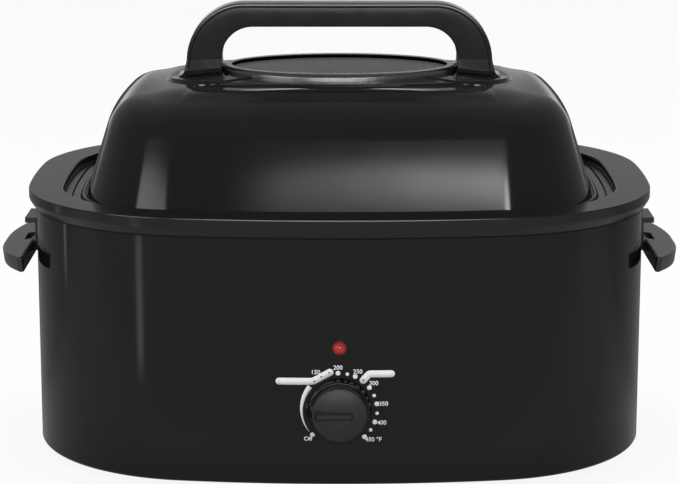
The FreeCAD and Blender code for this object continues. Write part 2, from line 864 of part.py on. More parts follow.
def lid_handle():
    """The arched handle with flared feet, moulded in one piece."""
    low = platform_top
    outer = handle_half_width
    under = handle_top - handle_bar_height
    depth = handle_depth / 2.0
    outline = [
        (outer, low, 0.0),
        (outer, handle_top, handle_outer_round),
        (-outer, handle_top, handle_outer_round),
        (-outer, low, 0.0),
        (-handle_inner_x, low, 0.0),
        (-handle_inner_x, under, handle_inner_round),
        (handle_inner_x, under, handle_inner_round),
        (handle_inner_x, low, 0.0),
    ]
    face = rounded_face(outline, lambda u, v: vec(u, -depth, v))
    body = face.extrude(BACK * handle_depth)
    rim_edges = [
        edge for edge in edges_at(body, lambda point: abs(abs(point.y) - depth) < screw_fit)
        if edge.BoundBox.YLength < screw_fit and edge.BoundBox.ZMax > low + screw_fit
    ]
    body = body.makeFillet(handle_edge_round, rim_edges)
    flare_x = outer + handle_foot_flare
    flare_y = depth + handle_foot_flare_y
    wide_low = (handle_inner_x, -flare_y)
    wide_high = (flare_x, flare_y)
    wires = [
        rounded_rectangle(wide_low, wide_high, handle_foot_round, low),
        rounded_rectangle(wide_low, wide_high, handle_foot_round, low + handle_foot_edge),
        rounded_rectangle((handle_inner_x, -depth + overlap), (outer - overlap, depth - overlap),
                          handle_foot_round, low + handle_foot_height),
    ]
    flared = Part.makeLoft(wires, True, True)
    body = body.fuse(flared).fuse(flared.mirror(vec(0.0, 0.0, 0.0), RIGHT))
    for side in (-1.0, 1.0):
        body = body.cut(Part.makeCylinder(screw_radius + screw_fit, handle_screw_length,
                                          vec(side * handle_screw_x(), 0.0, low), UP))
    return body.removeSplitter()


def handle_screws():
    """Two screws from inside the lid up into the handle's arms."""
    seat = platform_top - sheet - washer_thickness
    tip = platform_top + handle_screw_length - overlap
    screws = []
    for side in (-1.0, 1.0):
        place = vec(side * handle_screw_x(), 0.0, tip)
        screws.append(pan_head_screw(place, -UP, tip - seat, screw_head_radius, screw_head_height))
    return Part.makeCompound(screws)


def handle_washers():
    """Wide washers under the two handle screws."""
    low = platform_top - sheet - washer_thickness
    washers = []
    for side in (-1.0, 1.0):
        place = vec(side * handle_screw_x(), 0.0, low)
        washer = Part.makeCylinder(washer_radius, washer_thickness, place, UP)
        washers.append(washer.cut(Part.makeCylinder(screw_radius + screw_fit, washer_thickness, place, UP)))
    return Part.makeCompound(washers)


def along_front(shape, height):
    """Turn a piece drawn round +Z so that it points out of the front at a height."""
    shape.rotate(vec(0.0, 0.0, 0.0), RIGHT, 90.0)
    shape.translate(vec(0.0, front_face_y, height))
    return shape


def knob():
    """The control knob: a skirt with a pointer, a crowned cap and a grip ridge, hollow behind."""
    edge = knob_cap_edge
    outline = [
        (0.0, knob_gap, 0.0),
        (knob_skirt_radius, knob_gap, 0.0),
        (knob_skirt_top_radius, knob_skirt_top, knob_edge_round / 2.0),
        (knob_cap_radius, knob_skirt_top, 0.0),
        (knob_cap_radius, edge, knob_edge_round),
        (knob_cap_radius / 2.0, edge + knob_crown, knob_cap_radius),
        (0.0, edge + knob_crown, 0.0),
    ]
    body = rounded_face(outline, lambda u, v: vec(u, 0.0, v)).revolve(vec(0.0, 0.0, 0.0), UP, FULL_TURN)
    base = rounded_rectangle((-ridge_left - ridge_end_slope, -ridge_base_half_width),
                             (ridge_right + ridge_end_slope, ridge_base_half_width),
                             ridge_top_half_width / 2.0, edge - knob_edge_round)
    crest = rounded_rectangle((-ridge_left, -ridge_top_half_width), (ridge_right, ridge_top_half_width),
                              ridge_top_half_width / 2.0, ridge_top)
    inside_cap = Part.makeCylinder(knob_cap_radius, ridge_top, vec(0.0, 0.0, 0.0), UP)
    body = body.fuse(Part.makeLoft([base, crest], True, True).common(inside_cap))
    pointer = Part.Face(Part.makePolygon([
        vec(-knob_cap_radius + knob_wall / 2.0, -pointer_half_width, knob_gap),
        vec(-pointer_radius, -pointer_half_width, knob_gap),
        vec(-pointer_radius, -pointer_half_width, pointer_tip_height),
        vec(-knob_cap_radius + knob_wall / 2.0, -pointer_half_width, edge - knob_edge_round),
        vec(-knob_cap_radius + knob_wall / 2.0, -pointer_half_width, knob_gap),
    ])).extrude(BACK * (2.0 * pointer_half_width))
    body = body.fuse(pointer)
    hub_low = knob_gap + nut_thickness
    room = edge - knob_edge_round - knob_wall
    body = body.cut(Part.makeCylinder(knob_cap_radius - knob_wall, room, vec(0.0, 0.0, 0.0), UP))
    body = body.fuse(Part.makeCylinder(knob_hub_radius, room + overlap - hub_low,
                                       vec(0.0, 0.0, hub_low), UP))
    bore = shaft_solid(shaft_radius + shaft_fit, shaft_flat + shaft_fit, hub_low,
                       hub_low + shaft_grip + shaft_fit)
    body = body.cut(bore).cut(clip_solid(screw_fit)).removeSplitter()
    return along_front(body, knob_height)


def shaft_solid(radius, flat, low, high):
    """A round bar with one flat, drawn round +Z."""
    bar = Part.makeCylinder(radius, high - low, vec(0.0, 0.0, low), UP)
    return bar.cut(box_between((-radius, flat, low), (radius, radius, high)))


def clip_solid(grow):
    """The leaf spring on the shaft's flat, inside the knob's hub, grown by a clearance."""
    low = knob_gap + nut_thickness + overlap
    return box_between((-shaft_flat - grow, shaft_flat + shaft_fit - grow / 2.0, low - grow),
                       (shaft_flat + grow, shaft_flat + shaft_fit + clip_thickness + grow,
                        low + shaft_grip - 2.0 * overlap))


def knob_clip():
    """The spring clip that keeps the knob on its shaft."""
    return along_front(clip_solid(0.0), knob_height)


def thermostat_shaft():
    """The shaft that the knob turns."""
    high = knob_gap + nut_thickness + shaft_grip
    low = -casing_wall - thermostat_plate - overlap
    return along_front(shaft_solid(shaft_radius, shaft_flat, low, high), knob_height)


def thermostat_body():
    """The thermostat's case, with the threaded neck that comes through the casing."""
    back = front_inside_y + thermostat_plate
    half = thermostat_width / 2.0
    case = box_between((-half, back, knob_height - thermostat_height / 2.0),
                       (half, back + thermostat_depth, knob_height + thermostat_height / 2.0))
    neck_end = front_face_y - nut_thickness
    neck = Part.makeCylinder(neck_radius, back - neck_end, vec(0.0, neck_end, knob_height), BACK)
    bore = Part.makeCylinder(shaft_radius + shaft_fit, back + 2.0 * overlap - neck_end,
                             vec(0.0, neck_end, knob_height), BACK)
    return case.fuse(neck).cut(bore).removeSplitter()


def thermostat_plate_piece():
    """The plate between the thermostat and the casing, shaped to the bowed front."""
    half_x = thermostat_width / 2.0 + thermostat_plate_margin
    half_z = thermostat_height / 2.0 + thermostat_plate_margin
    back = front_inside_y + thermostat_plate
    plate = box_between((-half_x, front_face_y, knob_height - half_z), (half_x, back, knob_height + half_z))
    plate = plate.common(casing.offset(-casing_wall).prism(casing_bottom, casing_top))
    return plate.cut(Part.makeCylinder(neck_radius + neck_hole_fit, far, vec(0.0, -far, knob_height), BACK))


def thermostat_nut():
    """The six-sided nut on the neck, hidden in the knob."""
    corners = []
    for index in range(7):
        angle = math.radians(60.0 * index)
        corners.append(vec(nut_radius * math.cos(angle), nut_radius * math.sin(angle), 0.0))
    nut = Part.Face(Part.makePolygon(corners)).extrude(UP * nut_thickness)
    nut = nut.cut(Part.makeCylinder(neck_radius + screw_fit, nut_thickness, vec(0.0, 0.0, 0.0), UP))
    return along_front(nut, knob_height)


def pilot_lens():
    """The red lens: a low dome, a thin flange and a stem through the casing."""
    ball_radius = (lens_radius ** 2 + lens_rise ** 2) / (2.0 * lens_rise)
    ball = Part.makeSphere(ball_radius, vec(0.0, 0.0, lens_flange + lens_rise - ball_radius))
    dome_part = ball.common(Part.makeCylinder(lens_radius, lens_rise, vec(0.0, 0.0, lens_flange), UP))
    flange = Part.makeCylinder(lens_radius + overlap, lens_flange, vec(0.0, 0.0, 0.0), UP)
    stem_length = casing_wall + push_nut_thickness + overlap
    stem = Part.makeCylinder(lens_stem_radius, stem_length, vec(0.0, 0.0, -stem_length), UP)
    return along_front(dome_part.fuse(flange).fuse(stem).removeSplitter(), lamp_height)


def pilot_push_nut():
    """The push-on ring that keeps the lens in the casing."""
    ring = Part.makeCylinder(push_nut_radius, push_nut_thickness,
                             vec(0.0, 0.0, -casing_wall - push_nut_thickness), UP)
    ring = ring.cut(Part.makeCylinder(lens_stem_radius + screw_fit, far, vec(0.0, 0.0, -far / 2.0), UP))
    return along_front(ring, lamp_height).common(
        casing.offset(-casing_wall).prism(casing_bottom, casing_top))


def pilot_lamp():
    """The neon lamp's body behind the lens."""
    start = -casing_wall - push_nut_thickness - overlap
    body = Part.makeCylinder(lamp_body_radius, lamp_body_length, vec(0.0, 0.0, start - lamp_body_length), UP)
    return along_front(body, lamp_height)


def grip_place(shape):
    """Tilt a right-hand grip piece down and outward about the top of its inner edge."""
    shape.rotate(vec(grip_inner_x, 0.0, grip_top), BACK, grip_tilt)
    return shape


def on_side(shape, side):
    """The piece as drawn for the right, or its mirror image for the left."""
    if side > 0.0:
        return shape
    return shape.mirror(vec(0.0, 0.0, 0.0), RIGHT)


def side_grip(side):
    """A crescent grip with a notch for the bracket's knuckle and a cross bore for the pivot."""
    outline = [
        (grip_inner_x, -grip_half_length, grip_end_round),
        (grip_end_x, -grip_half_length, grip_end_round),
        (grip_outer_x, -grip_shoulder_y, grip_round),
        (grip_outer_x, grip_shoulder_y, grip_round),
        (grip_end_x, grip_half_length, grip_end_round),
        (grip_inner_x, grip_half_length, grip_end_round),
    ]
    low = grip_top - grip_thickness
    body = rounded_face(outline, lambda u, v: vec(u, v, low)).extrude(UP * grip_thickness)
    flat_edges = [edge for edge in body.Edges if edge.BoundBox.ZLength < screw_fit]
    body = body.makeFillet(grip_edge_round, flat_edges)
    body = grip_place(body)
    notch = box_between((grip_inner_x - grip_gap, -notch_half_width, low - grip_thickness),
                        (grip_inner_x + notch_depth, notch_half_width, grip_top + grip_thickness))
    bore_half = pivot_half_length + overlap
    bore = Part.makeCylinder(pivot_radius + pivot_fit, 2.0 * bore_half,
                             vec(pivot_x, -bore_half, pivot_z), BACK)
    return on_side(body.cut(notch).cut(bore), side)


def pivot_pin(side):
    """The cross pin of a grip, held in the bracket's knuckle."""
    pin = Part.makeCylinder(pivot_radius, 2.0 * pivot_half_length,
                            vec(pivot_x, -pivot_half_length, pivot_z), BACK)
    return on_side(pin, side)


def side_bracket(side):
    """The bracket on the casing: a thin plate, a knuckle for the pin and a hood over it."""
    face_x = casing_half_width + bracket_plate
    half = bracket_half_width
    knuckle_half = notch_half_width - knuckle_gap
    inside_x = casing_half_width - notch_depth
    plate = box_between((inside_x, -half, bracket_bottom), (face_x, half, bracket_top))
    hood = box_between((inside_x, -half, bracket_top - hood_thickness),
                       (casing_half_width + hood_reach, half, bracket_top))
    knuckle = box_between((inside_x, -knuckle_half, pivot_z - knuckle_round),
                          (pivot_x, knuckle_half, bracket_top - hood_thickness))
    knuckle = knuckle.cut(box_between(
        (face_x + knuckle_round, -far, pivot_z + knuckle_round), (far, far, bracket_top)))
    nose = Part.makeCylinder(knuckle_round, 2.0 * knuckle_half, vec(pivot_x, -knuckle_half, pivot_z), BACK)
    body = plate.fuse(hood).fuse(knuckle).fuse(nose)
    body = body.cut(casing.prism(casing_bottom, casing_top)).removeSplitter()
    body = body.cut(Part.makeCylinder(pivot_radius + screw_fit / 2.0, 2.0 * half,
                                      vec(pivot_x, -half, pivot_z), BACK))
    for y, z in bracket_screw_places:
        body = body.cut(Part.makeCylinder(screw_radius + screw_fit, far, vec(0.0, y, z), RIGHT))
    return on_side(body, side)


def bracket_backing(side):
    """The plate inside the casing that the bracket's screws pull against."""
    inside = casing.offset(-casing_wall)
    low_x = inside.half_x - backing_thickness - backing_margin / 2.0
    half = bracket_half_width - backing_margin
    plate = box_between((low_x, -half, bracket_bottom + backing_margin),
                        (casing_half_width, half, bracket_top - backing_margin))
    plate = plate.common(inside.prism(casing_bottom, casing_top))
    for y, z in bracket_screw_places:
        plate = plate.cut(Part.makeCylinder(screw_radius + screw_fit, far, vec(0.0, y, z), RIGHT))
    return on_side(plate, side)


def bracket_screws(side):
    """Three screws through the bracket and the casing into the backing."""
    tip_x = casing_half_width - casing_wall - backing_thickness - backing_margin
    length = casing_half_width + bracket_plate - tip_x
    screws = []
    for y, z in bracket_screw_places:
        screws.append(pan_head_screw(vec(tip_x, y, z), RIGHT, length, bracket_head_radius,
                                     bracket_head_height))
    return on_side(Part.makeCompound(screws), side)


def along_rear(shape):
    """Turn a piece drawn round +Z so that it points squarely out of the bowed rear."""
    shape.rotate(vec(0.0, 0.0, 0.0), RIGHT, -90.0)
    shape.rotate(vec(0.0, 0.0, 0.0), UP, -math.degrees(math.asin(gland_x / casing_front_bow)))
    shape.translate(vec(gland_x, casing.depth_at(gland_x), gland_height))
    return shape


def cord_gland():
    """The tapered bush where a mains lead would enter; the lead itself is left out."""
    inner = casing_wall + gland_nut_thickness + overlap
    shank = Part.makeCylinder(gland_radius, inner, vec(0.0, 0.0, -inner), UP)
    outline = [
        (0.0, -casing_wall / 2.0, 0.0),
        (gland_flange_radius, -casing_wall / 2.0, 0.0),
        (gland_flange_radius, gland_flange, overlap),
        (gland_radius + overlap, gland_flange, 0.0),
        (gland_tip_radius, gland_reach, overlap),
        (0.0, gland_reach, 0.0),
    ]
    head = rounded_face(outline, lambda u, v: vec(u, 0.0, v)).revolve(vec(0.0, 0.0, 0.0), UP, FULL_TURN)
    head = along_rear(head).cut(casing.prism(casing_bottom, casing_top))
    bore = Part.makeCylinder(gland_bore, inner + gland_reach, vec(0.0, 0.0, -inner), UP)
    return head.fuse(along_rear(shank)).cut(along_rear(bore)).removeSplitter()


def gland_nut():
    """The nut inside the casing on the gland's thread."""
    nut = Part.makeCylinder(gland_nut_radius, gland_nut_thickness,
                            vec(0.0, 0.0, -casing_wall / 2.0 - gland_nut_thickness), UP)
    nut = nut.cut(Part.makeCylinder(gland_radius + screw_fit, gland_reach,
                                    vec(0.0, 0.0, -gland_reach / 2.0), UP))
    return along_rear(nut).common(casing.offset(-casing_wall).prism(casing_bottom, casing_top))


def terminal_block():
    """The block on the base where the leads meet."""
    x, y = block_place
    low = foot_height + base_wall
    half_x = block_size[0] / 2.0
    half_y = block_size[1] / 2.0
    return box_between((x - half_x, y - half_y, low), (x + half_x, y + half_y, low + block_size[2]))


def lead(corners):
    """A round lead along straight runs joined by tangent arcs."""
    edges = []
    start = corners[0]
    for index in range(1, len(corners) - 1):
        here = corners[index]
        back = corners[index - 1].sub(here)
        ahead = corners[index + 1].sub(here)
        shorter = min(back.Length, ahead.Length)
        half = back.getAngle(ahead) / 2.0
        reach = lead_bend_share * shorter
        back.normalize()
        ahead.normalize()
        radius = reach * math.tan(half)
        middle = back.add(ahead)
        middle.normalize()
        arrive = here + back * reach
        leave = here + ahead * reach
        top = here + middle * (radius / math.sin(half) - radius)
        edges.append(Part.LineSegment(start, arrive).toShape())
        edges.append(Part.Arc(arrive, top, leave).toShape())
        start = leave
    edges.append(Part.LineSegment(start, corners[-1]).toShape())
    profile = Part.Wire(Part.makeCircle(lead_radius, corners[0], corners[1].sub(corners[0])))
    return Part.Wire(edges).makePipeShell([profile], True, True)


def internal_leads():
    """Leads from the terminal block to the thermostat and on to the element's posts."""
    block_x, block_y = block_place
    block_front = block_y - block_size[1] / 2.0
    exit_z = foot_height + base_wall + block_size[2] / 2.0
    thermostat_back = front_inside_y + thermostat_plate + thermostat_depth / 2.0
    thermostat_low = knob_height - thermostat_height / 2.0
    quarter = thermostat_width / 4.0
    leads = []
    for side in (-1.0, 1.0):
        x = side * quarter
        leads.append(lead([
            vec(block_x + side * block_size[0] / 4.0, block_front, exit_z),
            vec(block_x + side * block_size[0] / 4.0, block_front - lead_exit_run, exit_z),
            vec(x, thermostat_back + lead_arrival_run, lead_height),
            vec(x, thermostat_back, lead_height),
            vec(x, thermostat_back, thermostat_low),
        ]))
        post_y = -dome.offset(well_gap + well_wall + band_thickness).depth_at(terminal_spread)
        post_y = post_y - terminal_length + terminal_radius / 2.0
        leads.append(lead([
            vec(side * thermostat_width / 2.0, thermostat_back, knob_height),
            vec(side * (terminal_spread + thermostat_width / 2.0) / 2.0, thermostat_back, knob_height),
            vec(side * terminal_spread, post_y, band_middle() - terminal_radius * 2.0),
            vec(side * terminal_spread, post_y, band_middle() - terminal_radius),
        ]))
    return Part.makeCompound(leads)


def thermal_fuse():
    """The one-shot fuse against the underside of the well."""
    x, y = fuse_place
    z = well_floor_height - fuse_radius
    return Part.makeCylinder(fuse_radius, fuse_length, vec(x - fuse_length / 2.0, y, z), RIGHT)


def fuse_clip():
    """The bent strap that holds the fuse to the well's floor."""
    x, y = fuse_place
    z = well_floor_height - fuse_radius
    half = fuse_clip_width / 2.0
    outer = fuse_radius + screw_fit + fuse_clip_wall
    strap = Part.makeCylinder(outer, fuse_clip_width, vec(x - half, y, z), RIGHT)
    strap = strap.fuse(box_between((x - half, y - outer, z), (x + half, y + outer, well_floor_height)))
    ears = box_between((x - half, y - outer - fuse_clip_ear, well_floor_height - fuse_clip_wall),
                       (x + half, y + outer + fuse_clip_ear, well_floor_height))
    strap = strap.fuse(ears)
    room = fuse_radius + screw_fit
    strap = strap.cut(Part.makeCylinder(room, fuse_clip_width, vec(x - half, y, z), RIGHT))
    strap = strap.cut(box_between((x - half, y - room, z), (x + half, y + room, well_floor_height)))
    strap = strap.cut(box_between((x - half, y - far, well_floor_height), (x + half, y + far, casing_top)))
    return Part.makeCompound(strap.removeSplitter().Solids)


save(outer_casing(), "outer_casing")
save(base_plate(), "base_plate")
save(collar(), "collar")
save(heating_well(), "heating_well")
save(collar_screws(), "collar_screws")
save(insulation(), "insulation_blanket")
save(heating_band(), "heating_band")
save(band_clamps(), "band_clamps")
save(heater_terminals(), "heater_terminals")
for corner_name, corner_place in foot_places.items():
    save(foot(*corner_place), "foot_" + corner_name)
save(standoffs(), "well_standoffs")
save(foot_screws(), "foot_screws")
save(roasting_pan(), "roasting_pan")
save(roasting_rack(), "roasting_rack")
save(lid_shell(), "lid_shell")
save(window_gasket(), "window_gasket")
save(window_glass(), "window_glass")
save(window_bezel(), "window_bezel")
save(lid_handle(), "lid_handle")
save(handle_screws(), "handle_screws")
save(handle_washers(), "handle_washers")
save(knob(), "knob")
save(knob_clip(), "knob_clip")
save(thermostat_shaft(), "thermostat_shaft")
save(thermostat_body(), "thermostat_body")
save(thermostat_plate_piece(), "thermostat_plate")
save(thermostat_nut(), "thermostat_nut")
save(pilot_lens(), "pilot_lens")
save(pilot_push_nut(), "pilot_push_nut")
save(pilot_lamp(), "pilot_lamp")
for side_name, side_sign in (("left", -1.0), ("right", 1.0)):
    save(side_grip(side_sign), "grip_" + side_name)
    save(pivot_pin(side_sign), "pivot_pin_" + side_name)
    save(side_bracket(side_sign), "bracket_" + side_name)
    save(bracket_backing(side_sign), "bracket_backing_" + side_name)
    save(bracket_screws(side_sign), "bracket_screws_" + side_name)
save(cord_gland(), "cord_gland")
save(gland_nut(), "gland_nut")
save(terminal_block(), "terminal_block")
save(internal_leads(), "internal_leads")
save(thermal_fuse(), "thermal_fuse")
save(fuse_clip(), "fuse_clip")
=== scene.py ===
import json
import math
from functools import partialmethod

import bpy
import numpy as np
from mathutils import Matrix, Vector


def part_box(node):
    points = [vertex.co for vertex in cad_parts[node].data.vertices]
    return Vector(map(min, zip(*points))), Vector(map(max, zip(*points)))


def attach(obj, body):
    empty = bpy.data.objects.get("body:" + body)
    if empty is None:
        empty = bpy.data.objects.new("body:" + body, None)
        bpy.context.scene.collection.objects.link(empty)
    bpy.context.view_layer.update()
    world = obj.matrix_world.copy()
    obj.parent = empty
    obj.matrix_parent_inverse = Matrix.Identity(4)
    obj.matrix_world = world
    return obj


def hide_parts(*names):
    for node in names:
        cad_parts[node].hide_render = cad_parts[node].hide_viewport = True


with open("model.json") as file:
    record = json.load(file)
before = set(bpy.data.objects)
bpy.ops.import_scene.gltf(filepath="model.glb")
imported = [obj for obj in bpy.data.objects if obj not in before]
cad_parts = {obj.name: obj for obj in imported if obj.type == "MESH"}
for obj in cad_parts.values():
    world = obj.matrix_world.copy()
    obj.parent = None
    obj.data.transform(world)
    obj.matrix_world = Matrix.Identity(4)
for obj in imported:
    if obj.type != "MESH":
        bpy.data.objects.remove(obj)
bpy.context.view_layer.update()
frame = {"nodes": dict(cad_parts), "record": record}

# Everything is in metres, in the frame of the part: +Z up, -Y the front with the knob.
MM = 0.001
TURN, QUARTER = 2.0 * math.pi, 0.5 * math.pi
SHARP_ANGLE = math.radians(32.0)


def mm(*sizes):
    """Sizes in millimetres, as metres."""
    return [size * MM for size in sizes]


def node_box(node):
    """The lowest and highest corner of a node, as arrays."""
    low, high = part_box(node)
    return np.array(low), np.array(high)


# ---- sizes taken from the frame
casing_low, casing_high = node_box("outer_casing")
collar_low, collar_high = node_box("collar")
base_low, base_high = node_box("base_plate")
pan_low, pan_high = node_box("roasting_pan")
well_low, well_high = node_box("heating_well")
lid_low, _ = node_box("lid_shell")
bezel_low, bezel_high = node_box("window_bezel")
glass_low, glass_high = node_box("window_glass")
handle_low, handle_high = node_box("lid_handle")
knob_low, knob_high = node_box("knob")
lens_low, lens_high = node_box("pilot_lens")
half_x, half_y = casing_high[:2]
KNOB_HEIGHT = (knob_low[2] + knob_high[2]) / 2
LAMP_HEIGHT = (lens_low[2] + lens_high[2]) / 2
HOLE_X, HOLE_Y = mm(93.3, 61.8)  # half sizes of the window's hole in the lid

# ---- oval plans: bow radii and corner radius of the casing and of the lid's foot; and, from the
# casing inwards, the collar's land, the recess that holds the lid and the ledge in that recess
FRONT_BOW, END_BOW, CORNER = mm(909, 949, 149)
DOME_FRONT_BOW, DOME_END_BOW, DOME_CORNER = mm(1100, 1100, 92)
LAND_ENDS, LAND_FRONT = mm(23.5, 29)
RECESS_ENDS, RECESS_FRONT = mm(20, 6)
LEDGE_ENDS, LEDGE_FRONT = mm(8.5, 1.3)
FOOT_ENDS, FOOT_FRONT = LAND_ENDS + RECESS_ENDS, LAND_FRONT + RECESS_FRONT


def rounded_path(corners, closed=False, step=0.12, hold=0.6 * MM):
    """Straight runs joined by tangent arcs, as an array of points.

    A corner (u, v, radius) becomes an arc that meets both runs at radius * tan(half their turn), and
    a corner (u, v) stays sharp. A point is held a little way along each run that has room for it, so
    that the shading of the flat doesn't lean into the bend. Inside, a point is u + v * i.
    """
    corners = np.array([(*corner, 0)[:3] for corner in corners], float)
    points, radii = corners[:, 0] + 1j * corners[:, 1], corners[:, 2]
    back, ahead = np.roll(points, 1) - points, np.roll(points, -1) - points
    length = abs(ahead)
    back, ahead = back / abs(back), ahead / length
    turns = np.angle(-ahead / back)
    reach = radii * np.tan(abs(turns) / 2)
    room = length - reach - np.roll(reach, -1) > 3 * hold
    ends = () if closed else (0, len(points) - 1)
    path = []
    for index, point in enumerate(points):
        if radii[index] <= 0 or index in ends:
            path.append([point])
            continue
        arrive = point + back[index] * reach[index]
        spoke = 1j * back[index] * math.copysign(radii[index], turns[index])
        if room[index - 1]:
            path.append([arrive + back[index] * hold])
        count = max(4, math.ceil(abs(turns[index]) / step) + 1)
        path.append(arrive - spoke + spoke * np.exp(1j * np.linspace(0.0, turns[index], count)))
        if room[index]:
            path.append([point + ahead[index] * (reach[index] + hold)])
    path = np.concatenate(path)
    return np.stack([path.real, path.imag], 1)


class Plan:
    """An oval of eight tangent arcs, the same in both halves.

    A point keeps its arc's centre, radius and direction: an oval larger by some offset is
    centre + (radius + offset) * direction.
    """

    END, BEND, FRONT = 24, 40, 44

    def __init__(self, half_width, half_depth, front_bow, end_bow, corner):
        front_y = half_depth - front_bow
        end_x = half_width - end_bow
        front_reach, end_reach = front_bow - corner, end_bow - corner
        apart = math.hypot(end_x, front_y)
        along = (front_reach ** 2 - end_reach ** 2 + apart ** 2) / (2 * apart)
        across = math.sqrt(front_reach ** 2 - along ** 2)
        x = (end_x * along - front_y * across) / apart
        y = front_y - (front_y * along + end_x * across) / apart
        low = math.atan2(y, x - end_x)
        high = math.atan2(y - front_y, x)
        arcs = [
            (end_x, 0.0, end_bow, -low, low, self.END),
            (x, y, corner, low, high, self.BEND),
            (0.0, front_y, front_bow, high, math.pi - high, self.FRONT),
            (-x, y, corner, math.pi - high, math.pi - low, self.BEND),
        ]
        arcs += [(-cx, -cy, r, math.pi + a, math.pi + b, n) for cx, cy, r, a, b, n in arcs]
        angles = np.concatenate([np.linspace(a, b, n, endpoint=False) for _, _, _, a, b, n in arcs])
        self.centre = np.concatenate([np.tile((cx, cy), (n, 1)) for cx, cy, _, _, _, n in arcs])
        self.radius = np.concatenate([np.full(n, r) for _, _, r, _, _, n in arcs])
        self.out = np.stack([np.cos(angles), np.sin(angles)], 1)

    def rows(self, section):
        """One ring for each (offset, height) of a section; both may differ from point to point."""
        offsets, heights = (
            np.stack([np.broadcast_to(value, self.radius.shape) for value in values])
            for values in zip(*section)
        )
        flat = self.centre + (self.radius + offsets)[..., None] * self.out
        return np.concatenate([flat, heights[..., None]], 2)


def plan_between(from_ends, from_front):
    """A plan between the casing's and the lid's, with bows and corners in proportion to its inset."""
    share = (from_ends + from_front) / (FOOT_ENDS + FOOT_FRONT)
    return Plan(
        half_x - from_ends,
        half_y - from_front,
        FRONT_BOW + (DOME_FRONT_BOW - FRONT_BOW) * share,
        END_BOW + (DOME_END_BOW - END_BOW) * share,
        CORNER + (DOME_CORNER - CORNER) * share,
    )


casing_plan = plan_between(0, 0)
opening_plan = plan_between(LAND_ENDS, LAND_FRONT)
ledge_plan = plan_between(LAND_ENDS + LEDGE_ENDS, LAND_FRONT + LEDGE_FRONT)
dome_plan = plan_between(FOOT_ENDS, FOOT_FRONT)


def grid_shell(rows, ring=True, loop=False, low_cap=False, high_cap=False):
    """Points and faces of a surface through a grid of points, each four neighbours a face.

    ring joins the last column to the first, and loop the last row to the first. A cap is a fan from
    an end row to that row's middle.
    """
    count, width = rows.shape[:2]
    points = rows.reshape(-1, 3)
    row = np.arange(count if loop else count - 1)[:, None]
    column = np.arange(width if ring else width - 1)[None, :]
    above = (row + 1) % count * width
    beside = (column + 1) % width
    row = row * width
    quads = np.stack([row + column, row + beside, above + beside, above + column], -1)
    faces = quads.reshape(-1, 4).tolist()
    around = np.arange(width)
    following = (around + 1) % width
    for wanted, first, order in ((low_cap, 0, -1), (high_cap, (count - 1) * width, 1)):
        if wanted:
            edge = (first + around, first + following)[::order]
            faces += np.stack([*edge, np.full(width, len(points))], 1).tolist()
            points = np.vstack([points, points[first:first + width].mean(0)])
    return points, faces


def capped(rows):
    """A shell through rings, closed at both ends."""
    return grid_shell(rows, low_cap=True, high_cap=True)


def looped(rows):
    """A shell through rings, whose last ring joins the first."""
    return grid_shell(rows, loop=True)


def place_object(name, data):
    """Add an object to the scene that shows a mesh, a lamp or a camera."""
    made = bpy.data.objects.new(name, data)
    bpy.context.scene.collection.objects.link(made)
    return made


def piece(name, body, slot, shells, nodes=(), finish=None):
    """An object of some shells, which rides on a body, with its slot's finish or one of its own."""
    mesh = bpy.data.meshes.new(name)
    points, faces, start = [], [], 0
    for shell_points, shell_faces in shells:
        points.append(shell_points)
        faces += [[start + corner for corner in face] for face in shell_faces]
        start += len(shell_points)
    mesh.from_pydata(np.concatenate(points).tolist(), [], faces)
    mesh.shade_smooth()
    mesh.set_sharp_from_angle(angle=SHARP_ANGLE)
    mesh.materials.append(finish or SLOT_FINISH[slot])
    made = place_object(name, mesh)
    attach(made, body)
    if nodes:
        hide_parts(*nodes)
    return made


def paint_gap_shade(made, painted_shade_rings):
    """Mark rings of an oval piece with the shade attribute, where its finish draws painted shade, dark as in
    a gap.
    """
    ring = np.arange(len(made.data.vertices)) // len(casing_plan.radius)
    marks = np.isin(ring, painted_shade_rings).astype(float)
    made.data.attributes.new("shade", "FLOAT", "POINT").data.foreach_set("value", marks)


def ellipse_rows(section, count=256):
    """One elliptical ring for each (half width, half depth, height) of a section."""
    angles = np.linspace(0, TURN, count, endpoint=False)
    width, depth, height = np.array(section).T[..., None]
    return np.stack(np.broadcast_arrays(width * np.cos(angles), depth * np.sin(angles), height), 2)


def turned_rows(profile, count=128):
    """Round rings about +Z for each (radius, height) of a profile."""
    return ellipse_rows([(radius, radius, height) for radius, height in profile], count)


def on_front(points, height):
    """Turn points drawn round +Z so that they point out of the casing's front at a height."""
    return np.stack([points[..., 0], -half_y - points[..., 2], height + points[..., 1]], -1)


def slab_rows(outline, low, high, edge):
    """Rings of an upright plate round a flat outline, whose upper and lower edges are rounded.

    A ring at angle a of an edge stands in from the outline by edge * (1 - cos a), along its normal.
    """
    tangent = np.roll(outline, -1, 0) - np.roll(outline, 1, 0)
    tangent = tangent / np.hypot(*tangent.T)[:, None]
    inward = np.stack([-tangent[:, 1], tangent[:, 0]], 1)
    inset, rise = edge * np.array(rounding(6)[::-1]).T
    insets = np.concatenate([[edge * 1.5], inset, inset[::-1], [edge * 1.5]])
    heights = np.concatenate([[low], low + rise, high - rise[::-1], [high]])
    return np.stack([
        np.column_stack([outline + inward * by, np.full(len(outline), height)])
        for by, height in zip(insets, heights)
    ])


def rounding(count):
    """Pairs (1 - cos, 1 - sin) over a quarter turn, by equal steps."""
    turns = np.linspace(0, QUARTER, count)
    return list(zip(1 - np.cos(turns), 1 - np.sin(turns)))


def smooth(value):
    """A smooth step from 0 to 1."""
    value = np.clip(value, 0, 1)
    return value * value * (3 - 2 * value)


# ---- finishes

# The near-black of painted shade, drawn where the shadow in a gap or seam would fall.
PAINTED_GAP_SHADE = (0.001, 0.001, 0.001)
LENS_EDGE = 5.35 * MM


